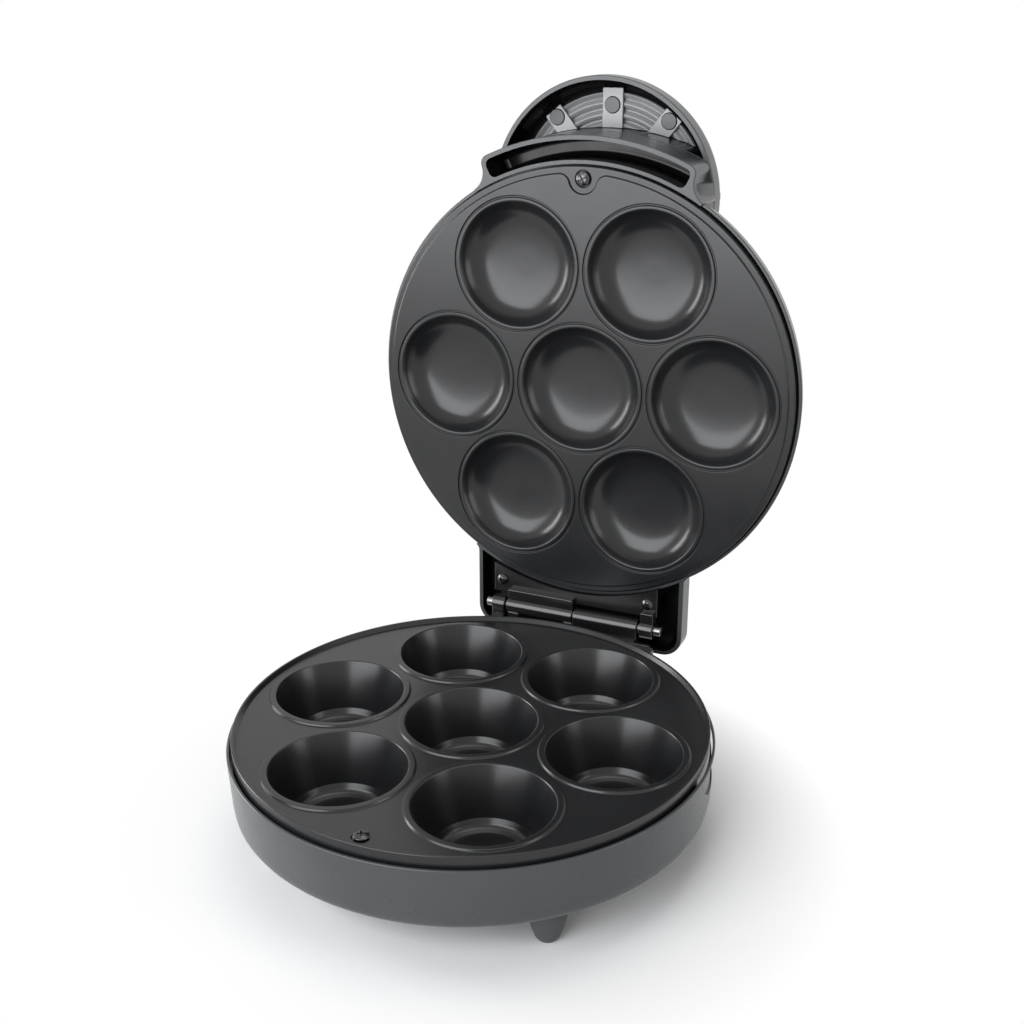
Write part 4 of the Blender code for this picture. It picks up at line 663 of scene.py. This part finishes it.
def base_line():
    """The bowl's outside, from its rim to the middle of its floor."""
    points = [
        (BASE_RADIUS * r, BASE_BOTTOM + BASE_RISE * h, fillet)
        for (r, h), fillet in zip(BASE_SHARES, BASE_FILLETS)
    ]
    return softened(points, steps=6)


def blended_outline(half_width, back, corner, blend, radius):
    """The plan of a block at the back, blended into a round body and rounded at its corners."""
    x = half_width + blend
    y = math.sqrt((radius + blend) ** 2 - x * x)
    turn = math.atan2(y, x)
    right = [polar(radius / 2, turn)]
    right += arc((x, y), blend, turn + math.pi, math.pi, 8)
    right += arc((half_width - corner, back - corner), corner, 0, math.pi / 2, 8)
    return right + [(-a, b) for a, b in reversed(right)]


def side_recess(angle):
    """A thin half-round cutter in the outside of the bowl, at an angle round it."""
    half_width, depth, height = 27.5, 16.5, 47.1
    outline = [(x * half_width, y * depth) for x, y in arc((0, 0), 1, math.pi, 2 * math.pi, 28)]
    band_line = [(115, 51.1), (115, 28), (106.6, 28), (107.1, 51.1)]
    band = turned("band", band_line, WIDE, "housing", closed=True)
    mould = prism("mould", outline, 60, 200, "housing")
    place = Matrix.Translation((0, 0, height)) @ Matrix.Rotation(angle + math.pi / 2, 4, "Z")
    mould.data.transform(place @ Matrix.Rotation(math.pi / 2, 4, "X"))
    return common(band, mould)


def lower_housing():
    """The moulded bowl with its hinge block, the gland's hole and a recess in each side."""
    line = base_line()
    rim = softened([(107.0, BASE_TOP), (BASE_RADIUS, BASE_TOP, 0.5), line[1]])
    obj = turned("bowl", [(0, BASE_TOP), (105.0, BASE_TOP), *rim[1:], *line[2:]], WIDE, "housing")
    plan = blended_outline(48, 112.3, 2.5, 13, 107.7)
    fuse(obj, prism("block", plan, 27.5, 46.0, "housing", 0.8, 0.8))
    cavity = [
        (0, 60),
        (107.3, 60),
        (107.3, 42.9),
        (103.5, 42.9),
        (103.5, 40.4),
        (101.5, 36),
        (101.5, 21.6),
        (90, 13.5),
        (86, 12.9),
        (0, 12.9),
    ]
    cut(obj, turned("cavity", cavity, WIDE, "inner"))
    hole = rod("hole", 5.2, (95, 0, GLAND_HEIGHT), (115, 0, GLAND_HEIGHT), "inner", ROUND)
    hole.data.transform(GLAND_TURN)
    cut(obj, hole)
    for angle in (15, 165):
        cut(obj, side_recess(math.radians(angle)))
    piece(obj, "lower_housing_moulded", "base", "housing", "lower_housing")


def feet():
    """Tapered feet whose tops follow the bowl."""
    profile = softened(
        [
            (0, 19.5),
            (8.4, 19.5),
            (8.06, 11.5, 2),
            (6.72, 5.8, 3),
            (5.4, 2.1, 2),
            (4.28, 0.5, 0.6),
            (3.2, 0.0, 0.4),
            (2.8, 0.3, 0.2),
            (0, 0.3),
        ],
        steps=5,
    )
    sides = {"front_right": -45, "front_left": -135, "back_right": 45, "back_left": 135}
    for side, angle in sides.items():
        place = polar(FOOT_CIRCLE, math.radians(angle))
        foot = turned("foot", profile, SMALL * 2, "rubber", place)
        bowl = [(0, BASE_TOP), *[(r + 0.1, z - 0.25) for r, z in base_line()]]
        cut(foot, turned("clear", bowl, WIDE, "rubber"))
        piece(foot, "foot_" + side + "_moulded", "base", "rubber", "foot_" + side)


# Upper housing

# Radius and height along the dome and the pad, as shares of each one's radius and rise
LID_SHARES = (
    (0.0, 1.0),
    (0.3, 0.988),
    (0.53, 0.95),
    (0.73, 0.868),
    (0.86, 0.745),
    (0.93, 0.58),
    (0.96, 0.43),
    (0.985, 0.2),
    (1.0, 0.0),
)
PAD_SHARES = ((0.0, 1.0), (0.5, 0.985), (0.78, 0.93), (0.92, 0.82), (0.975, 0.635), (1.0, 0.4))
LID_RADIUS, LID_RIM, LID_TOP = 109.8, 4.5, 45.4
LID_LINING, LID_CEILING = 107.6, 43.2
PAD_RADIUS, PAD_BOTTOM, PAD_TOP = 57.1, 24.5, 46.0
PAD_LINING, PAD_CEILING = 54.9, 43.8
FRAME_REACH, FRAME_BLEND, FRAME_FACE = 121.5, 10.0, 3.0
POCKET_INNER, POCKET_OUTER, POCKET_FLOOR = 110.0, 119.3, 24.0
LID_SCREW_X, LID_SCREW_Y = 40.3, 107.5
# Reach and turn of each stake from the pad's centre, and the face of the tabs round them
STAKES = ((42.6, 0.0), (46.1, math.radians(38.8)), (46.1, -math.radians(38.8)))
TAB_FACE = 39.6


def lid_line(radius=LID_RADIUS, top=LID_TOP):
    """The dome's outside, from its middle to its rim, or its lining."""
    return smooth_line([(r * radius, LID_RIM + h * (top - LID_RIM)) for r, h in LID_SHARES], 5)


def pad_line(radius=PAD_RADIUS, top=PAD_TOP):
    """The handle pad's outside, from its middle down its side, or its lining."""
    keys = [(r * radius, PAD_BOTTOM + h * (top - PAD_BOTTOM)) for r, h in PAD_SHARES]
    return [(min(r, radius), z) for r, z in smooth_line(keys, 5)]


def frame_path(turn=27.2, corner=4.0):
    """The plan of the pocket's frame: front arc, corners and blends to the lid."""
    down = -math.pi / 2
    reach, far = FRAME_REACH - corner, LID_RADIUS + FRAME_BLEND
    turn = math.radians(turn) - math.asin(corner / reach)
    between = reach**2 + far**2 - (corner + FRAME_BLEND) ** 2
    spread = turn + math.acos(between / (2 * reach * far))
    near, wide = Vector(front(reach, turn)), Vector(front(far, spread))
    heading = math.atan2(wide.y - near.y, wide.x - near.x)
    points = arc((0, 0), FRAME_REACH, down, down + turn, 24)
    points += arc(near, corner, down + turn, heading, 10)[1:]
    points += arc(wide, FRAME_BLEND, heading + math.pi, down + spread + math.pi, 12)[1:]
    points.append(front(90, spread))
    return points + [(-x, y) for x, y in reversed(points[1:])]


def pocket_path(turn=26.1, corner=3.1):
    """The crescent pocket, with rounded corners."""
    down = -math.pi / 2
    turn = math.radians(turn)
    side = down + turn + math.pi / 2
    reach = POCKET_OUTER - corner
    out = turn - math.asin(corner / reach)
    points = arc((0, 0), POCKET_OUTER, down, down + out, 22)
    points += arc(front(reach, out), corner, down + out, side, 8)[1:]
    reach = POCKET_INNER + corner
    back = turn - math.asin(corner / reach)
    points += arc(front(reach, back), corner, side, down + back + math.pi, 8)
    points += arc((0, 0), POCKET_INNER, down + back, down, 22)[1:]
    return points + [(-x, y) for x, y in reversed(points[1:-1])]


def wall(radius, low=-10.0, material="inner"):
    """A tall drum round the lid's axis, which limits a shape or a cutter."""
    return turned("wall", [(0, 95), (radius, 95), (radius, low), (0, low)], WIDE, material)


def about_pad(name, profile, material="housing"):
    """A shape turned round the handle pad's centre."""
    return turned(name, profile, WIDE, material, (0, -PAD_Y))


def pad_point(reach, turn):
    """A place at a distance and a turn from the handle pad's centre."""
    x, y = front(reach, turn)
    return x, y - PAD_Y


def housing_outside():
    """The dome, the pad, the pocket's frame with the corner behind it, and the hinge box."""
    line = lid_line()
    rim = softened([line[-2], (LID_RADIUS, LID_RIM, 0.55), (107.5, LID_RIM)])
    dome = turned("dome", [*line[:-1], *rim[1:-1], (0, LID_RIM)], WIDE, "housing")
    line = pad_line()
    rim = softened([line[-1], (PAD_RADIUS, PAD_BOTTOM, 0.6), (50, PAD_BOTTOM)])
    pad = about_pad("pad", [*line, *rim[1:-1], (0, PAD_BOTTOM)])
    support = prism("support", frame_path(), FRAME_FACE, 35.0, "housing", 0, 0.5)
    reach = [(0, 60), (56.9, 60), (56.9, 25.5), (58.5, 21), (64, 12), (64, -5), (0, -5)]
    common(support, about_pad("reach", reach))
    skirt = about_pad("skirt", [(0, 27), (57.0, 27), (56.7, 20), (55.2, 9), (53.5, 7), (0, 7)])
    common(skirt, wall(114.6, material="housing"))
    plan = blended_outline(57, 137, 10.5, 3.5, LID_RADIUS)
    box_shape = prism("hinge_box", plan, FRAME_FACE, 16.5, "housing", 4.0, 0.5, 6)
    return fuse(dome, pad, support, skirt, box_shape)


def upper_housing():
    """The lid's cover, hollowed from below, with its stakes and screw posts."""
    obj = housing_outside()
    lining = [(r, z) for r, z in lid_line(LID_LINING, LID_CEILING)[1:] if z > 13]
    ledge = [(105.4, 13.0), (104.5, 10.8), (104.5, 8.3), (108.3, 8.3), (108.3, 0), (0, 0)]
    cut(obj, turned("hollow", [(0, LID_CEILING), *lining, *ledge], WIDE, "inner"))
    lining = pad_line(PAD_LINING, PAD_CEILING)
    inside = about_pad("inside", [*lining, (PAD_LINING, 26.2), (0, 26.2)], "inner")
    cut(obj, common(inside, wall(POCKET_OUTER)))
    plan = blended_outline(54.8, 134.8, 8.3, 5.7, LID_LINING)
    cut(obj, cut(prism("box_hollow", plan, -1, 14.3, "inner"), wall(LID_RADIUS)))
    cut(obj, prism("pocket", pocket_path(), -1, POCKET_FLOOR, "inner", 3.0, steps=8))
    fingers = about_pad("fingers", [*lining, (PAD_LINING, 20), (0, 20)], "inner")
    cut(obj, cut(fingers, wall(FRAME_REACH + 0.15)))
    for reach, turn in STAKES:
        x, y = pad_point(reach, turn)
        top = 42.65 if turn else 43.4
        fuse(obj, rod("stake", 3.8, (x, y, TAB_FACE - 2.1), (x, y, top), "disc", SMALL, 0.25))
    for x in (-LID_SCREW_X, LID_SCREW_X):
        fuse(obj, rod("post", 3.9, (x, LID_SCREW_Y, 0.3), (x, LID_SCREW_Y, 15.4), "inner"))
    piece(obj, "upper_housing_moulded", "lid", "housing", "upper_housing", sharp=34)


def ceiling(reach):
    """The height of the pad's lining at a distance from the pad's centre."""
    line = pad_line(PAD_LINING, PAD_CEILING)
    for (r0, z0), (r1, z1) in zip(line, line[1:]):
        if r0 <= reach <= r1 and r1 > r0:
            return z0 + (z1 - z0) * (reach - r0) / (r1 - r0)
    raise ValueError("no ceiling at this reach")


def rib_line():
    """The ribs' section: along the ceiling, then back over a narrow edge, two ribs and a lip."""
    crest = 39.15
    ribs = ((48.0, 0.5), (43.3, 1.3), (38.0, 1.3), (33.3, 0.9))
    keys = [(r, ceiling(r) - 0.3) for r in (32.2, 36, 40, 44, 47, 48.7)]
    for i, (reach, half) in enumerate(ribs):
        shoulder, peak = (0.4, 0.3) if half < 1 else (0.9, 0.9)
        keys.append((reach + half, crest + half * 0.6, shoulder))
        keys.append((reach, crest, peak))
        keys.append((reach - half, crest + half * 0.6, shoulder))
        if i + 1 < len(ribs):
            middle = (reach + ribs[i + 1][0]) / 2
            keys.append((middle, ceiling(middle) - 1.0, 0.6))
    return softened(keys, True, 4)


def handle_insert():
    """Concentric ribs crossed by three tabs that the stakes pass through."""
    obj = turned("ribs", rib_line(), WIDE, "insert", (0, -PAD_Y), closed=True)
    sizes = ((10.6, 50.7), (9.9, 50.0), (9.9, 50.0))
    for (reach, turn), (width, outer) in zip(STAKES, sizes):
        low, high = (-width / 2, -outer, TAB_FACE - 1.4), (width / 2, -27.0, TAB_FACE)
        tab = box("tab", low, high, "insert", 0.35)
        tab.data.transform(Matrix.Translation((0, -PAD_Y, 0)) @ Matrix.Rotation(turn, 4, "Z"))
        fuse(obj, tab)
    cut(obj, wall(FRAME_REACH + 0.45, material="insert"))
    for reach, turn in STAKES:
        x, y = pad_point(reach, turn)
        cut(obj, rod("hole", 4.1, (x, y, 30), (x, y, 50), "inner"))
    piece(obj, "handle_insert_moulded", "lid", "insert", "handle_insert")


# Hinge

BARREL, BORE, PIN = 4.6, 2.8, 2.5
BASE_SCREW_X, BASE_SCREW_Z = 28, 35.4
# Ends of each bracket's barrel and ear
BASE_RUNS = ((1.3, 36.2), (-44.5, -37.5))
LID_RUNS = ((-36.2, 0.7, 12.0), (37.5, 44.5, 6.0))


def hinge_rod(name, radius, start, end, height, steps=SMALL, rim=0.0):
    """A rod on the hinge's axis, between two places across the object."""
    ends = (start, HINGE_Y, height), (end, HINGE_Y, height)
    return rod(name, radius, *ends, "bracket", steps, rim)


def base_bracket():
    """The plate on the hinge block, with the right barrel, the left ear and the open stop."""
    z = HINGE_Z
    obj = box("plate", (-44.5, 112.6, 29.0), (44.5, 115.4, 45.9), "bracket", 0.5)
    for start, end in BASE_RUNS:
        low, high = (start + 0.05, 112.8, z - 8.4), (end - 0.05, 122.4, z - 5.0)
        foot = box("foot", low, high, "bracket", 0.4)
        low, high = (start + 0.1, 116.3, z - 6.7), (end - 0.1, 122.33, z + 0.8)
        web = box("web", low, high, "bracket", 0.5)
        fuse(obj, foot, web, hinge_rod("barrel", BARREL, start, end, z, ROUND, 0.4))
    shelf = box("shelf", (-31, 112.8, z - 7.05), (-5, 129.4, z - 5.05), "bracket", 0.4)
    riser = box("riser", (-31, 126.5, z - 6.05), (-5, 129.4, z - 0.5), "bracket", 0.4)
    fuse(obj, fuse(shelf, riser))
    cut(obj, hinge_rod("bore", BORE, -60, 60, z))
    piece(obj, "base_hinge_bracket_moulded", "base", "bracket", "base_hinge_bracket")


def lid_bracket():
    """The leaf in front of the hinge box, with the left barrel and the right ear."""
    leaf = box("leaf", (-45.2, 54, -2.5), (45.2, 114.5, 0), "bracket", 0.45)
    cut(leaf, wall(108.6, -5, "bracket"))
    for start, end, depth in LID_RUNS:
        low, high = (start + 0.1, 111.5, -6.0), (end - 0.1, HINGE_Y, -6.0 + depth)
        web = box("web", low, high, "bracket", 0.5)
        fuse(leaf, web, hinge_rod("barrel", BARREL, start, end, HINGE_H, ROUND, 0.4))
    cut(leaf, hinge_rod("bore", BORE, -60, 60, HINGE_H))
    piece(leaf, "lid_hinge_bracket_moulded", "lid", "bracket", "lid_hinge_bracket")


def screw(name, body, at, turn, head, node, low=0.0):
    """A pan head with a cross recess, over a plain shank; "low" takes that much off its height."""
    top = 2.18 - low
    profile = softened(
        [
            (0, top),
            (head * 0.55, top - 0.1, 0.8),
            (head, 0.85, 0.5),
            (head, 0.3, 0.1),
            (1.3, 0.3),
            (1.3, -6.5),
            (0, -7.2),
        ],
        steps=5,
    )
    obj = turned("head", profile, SMALL, "screw")
    slot_half, slot_length = 0.36, head * 0.58
    for angle in (0, math.pi / 2):
        start, end = (-slot_length, -slot_half, top - 0.9), (slot_length, slot_half, 4)
        # The cross recess is cut with the near-black inner material instead of the screw's metal:
        # painted shade in the recess
        blade = box("blade", start, end, "inner", 0.1)
        blade.data.transform(Matrix.Rotation(angle + 0.5, 4, "Z"))
        cut(obj, blade)
    piece(obj, name, body, "black_screw", node, place=Matrix.Translation(at) @ turn)


def screws():
    """The plate screws and the hinge screws, each turned to face out of its piece."""
    over = Matrix.Rotation(math.pi, 4, "X")
    back = Matrix.Rotation(-math.pi / 2, 4, "X")
    up = Matrix.Identity(4)
    at = (0, -LOWER_SCREW_REACH, FACE_Z)
    screw("lower_plate_cross_screw", "base", at, up, 3.4, "lower_plate_screw", 0.5)
    at = (0, -UPPER_SCREW_REACH, 1.0)
    screw("upper_plate_cross_screw", "lid", at, over, 3.4, "upper_plate_screw", 0.5)
    for side, x in (("left", -1), ("right", 1)):
        at = (x * LID_SCREW_X, LID_SCREW_Y, -2.5)
        screw("lid_hinge_cross_screw_" + side, "lid", at, over, 2.9, "lid_hinge_screw_" + side)
        at = (x * BASE_SCREW_X, 115.4, BASE_SCREW_Z)
        screw("base_hinge_cross_screw_" + side, "base", at, back, 2.9, "base_hinge_screw_" + side)


def hinge_pin():
    """The pin through all the barrels."""
    half = 48.4
    ends = (-half, HINGE_Y, HINGE_Z), (half, HINGE_Y, HINGE_Z)
    obj = rod("pin", PIN, *ends, "steel", SMALL, 0.5)
    piece(obj, "hinge_pin_turned", "base", "steel", "hinge_pin")


# Lights on the pad and the gland


def lights():
    """Two domed lenses in the pad, hollow from below."""
    seat = 45.7
    profile = softened(
        [
            (0, seat + 1.9),
            (2.6, seat + 1.75, 2),
            (4.3, seat + 0.9, 1.2),
            (4.5, seat, 0.2),
            (3.5, seat),
            (3.5, seat - 12),
            (2.6, seat - 12),
            (2.6, seat - 4),
            (0, seat - 4),
        ],
        steps=5,
    )
    for x, name, colour in ((-10, "power", "red"), (10, "ready", "green")):
        obj = turned("lens", profile, SMALL, colour, (x, 28 - PAD_Y))
        piece(obj, name + "_lens_domed", "lid", colour + "_lens", name + "_light_lens")


def gland():
    """The ribbed bushing in the back wall, which leans with the wall."""
    profile = softened(
        [
            (4.9, 6.8, 0.6),
            (5.6, 4.9, 0.3),
            (5.2, 4.5, 0.2),
            (5.9, 3.4, 0.3),
            (5.5, 3.0, 0.2),
            (6.2, 2.2, 0.3),
            (7.5, 1.9, 0.5),
            (7.5, 0.5, 0.2),
            (4.9, 0.5),
            (4.9, -3.8),
            (3.4, -3.8),
            (3.4, 6.8, 0.5),
        ],
        True,
    )
    obj = turned("gland", profile, SMALL * 2, "gland", closed=True)
    lean = 0.0532
    place = GLAND_TURN @ Matrix.Translation((107.2, 0, GLAND_HEIGHT))
    place = place @ Matrix.Rotation(math.pi / 2 + lean, 4, "Y")
    piece(obj, "cord_gland_ribbed", "base", "rubber", "cord_gland", place=place)


def paint(node, material):
    """Give a node that the frame carries its material."""
    obj = frame["nodes"][node]
    obj.data.materials.clear()
    obj.data.materials.append(MATERIALS[material])


lower_plate()
upper_plate()
lower_housing()
feet()
upper_housing()
handle_insert()
base_bracket()
lid_bracket()
screws()
hinge_pin()
lights()
gland()
CARRIED = {
    "lower_heating_element": "sheath",
    "upper_heating_element": "sheath",
    "lower_heat_shield": "shield",
    "upper_heat_shield": "shield",
    "thermostat": "ceramic",
    "terminal_block": "ceramic",
    "thermal_fuse": "fuse",
    "power_lamp": "lamp",
    "ready_lamp": "lamp",
}
for node_name, finish in CARRIED.items():
    paint(node_name, finish)
for node_name in frame["nodes"]:
    if "shield_screw" in node_name:
        paint(node_name, "steel")


# Floor, light and camera


def seen_white(tree):
    """A factor that is 1 for rays that show the background: camera, glossy and transmission."""
    path = tree.nodes.new("ShaderNodeLightPath")
    factor = path.outputs["Is Camera Ray"]
    for other in ("Is Glossy Ray", "Is Transmission Ray"):
        largest = tree.nodes.new("ShaderNodeMath")
        largest.operation = "MAXIMUM"
        tree.links.new(factor, largest.inputs[0])
        tree.links.new(path.outputs[other], largest.inputs[1])
        factor = largest.outputs[0]
    return factor


def floor_material():
    """Pale by the object, where it keeps the shadow, and white further out, like the background."""
    fade_start, fade_end = 0.104, 0.168
    made = Nodes("floor_pale")
    made.colours(made.noise(4, 2), (0.95, 0.95, 0.95), (0.92, 0.92, 0.92))
    made.set(Roughness=0.7)
    white = made.add("ShaderNodeEmission")
    white.inputs["Color"].default_value = (1, 1, 1, 1)
    white.inputs["Strength"].default_value = 1.0
    reach = made.add("ShaderNodeVectorMath", operation="LENGTH")
    made.link(made.place, reach.inputs[0])
    away = made.ramp(reach.outputs["Value"], fade_start, fade_end, 0.0, 1.0)
    fade = made.add("ShaderNodeMath", operation="MULTIPLY")
    made.link(away, fade.inputs[0])
    made.link(seen_white(made.tree), fade.inputs[1])
    mix = made.add("ShaderNodeMixShader")
    made.link(fade.outputs[0], mix.inputs[0])
    made.link(made.shader.outputs[0], mix.inputs[1])
    made.link(white.outputs[0], mix.inputs[2])
    made.link(mix.outputs[0], made.tree.nodes["Material Output"].inputs["Surface"])
    return made.material


MATERIALS["floor"] = floor_material()
floor = turned("floor", [(0, 0), (150, 0), (400, 0), (4000, 0)], 64, "floor")
floor.data.transform(MM)
floor.location = BASE_PLACE.translation


def area_light(name, place, target, size, power, colour=(1, 1, 1)):
    """A rectangular light at a place in metres, turned to its target."""
    data = bpy.data.lights.new(name, "AREA")
    data.shape = "RECTANGLE"
    data.size, data.size_y = size
    data.energy = power
    data.color = colour
    obj = bpy.data.objects.new(name, data)
    bpy.context.scene.collection.objects.link(obj)
    obj.location = place
    way = Vector(target) - Vector(place)
    obj.rotation_euler = way.to_track_quat("-Z", "Y").to_euler()


COOL = (0.965, 0.978, 1.0)
area_light("front_softbox", (-0.4, -1.1, 0.62), (-0.2, 0.1, 0.5), (1.2, 1.24), 22.5, COOL)
area_light("left_softbox", (-1.2, -0.1, 0.36), (0, 0, 0.1), (0.45, 0.7), 9.5)
area_light("right_softbox", (1.4, 0.0, 0.5), (0, 0, 0.15), (0.5, 1.0), 4.5)
area_light("top_softbox", (0.0, 0.35, 1.6), (0, 0, 0.1), (0.9, 0.7), 3.0)

world = bpy.data.worlds.new("studio")
world.use_nodes = True
tree = world.node_tree
soft = tree.nodes["Background"]
soft.inputs["Color"].default_value = (1, 1, 1, 1)
soft.inputs["Strength"].default_value = 0.25
white = tree.nodes.new("ShaderNodeBackground")
white.inputs["Color"].default_value = (1, 1, 1, 1)
white.inputs["Strength"].default_value = 1.0
mix = tree.nodes.new("ShaderNodeMixShader")
tree.links.new(seen_white(tree), mix.inputs["Fac"])
tree.links.new(soft.outputs[0], mix.inputs[1])
tree.links.new(white.outputs[0], mix.inputs[2])
tree.links.new(mix.outputs[0], tree.nodes["World Output"].inputs["Surface"])
bpy.context.scene.world = world
bpy.context.scene.view_settings.view_transform = "Standard"


def add_camera():
    """The camera fitted to the rings of both plates in the photo, with lengths in metres."""
    az, el, roll = math.radians(24.469), math.radians(21.222), math.radians(-0.43)
    distance, shift_right, shift_up = 0.63543, 0.019138, 0.093503
    focal_pixels, picture_width, sensor_width = 1417.11, 1024, 36
    back = Vector((math.sin(az) * math.cos(el), -math.cos(az) * math.cos(el), math.sin(el)))
    right = Vector((math.cos(az), math.sin(az), 0))
    up = back.cross(right)
    c, s = math.cos(roll), math.sin(roll)
    right, up = right * c + up * s, up * c - right * s
    centre = BASE_PLACE.translation + Vector((-0.0011, 0, FACE_Z / 1000))
    place = centre + back * distance + right * shift_right + up * shift_up
    data = bpy.data.cameras.new("camera")
    data.sensor_width = sensor_width
    data.lens = focal_pixels / picture_width * sensor_width
    data.clip_start = 0.01
    obj = bpy.data.objects.new("camera", data)
    matrix = Matrix((right, up, back)).transposed().to_4x4()
    matrix.translation = place
    obj.matrix_world = matrix
    bpy.context.scene.collection.objects.link(obj)
    bpy.context.scene.camera = obj


add_camera()
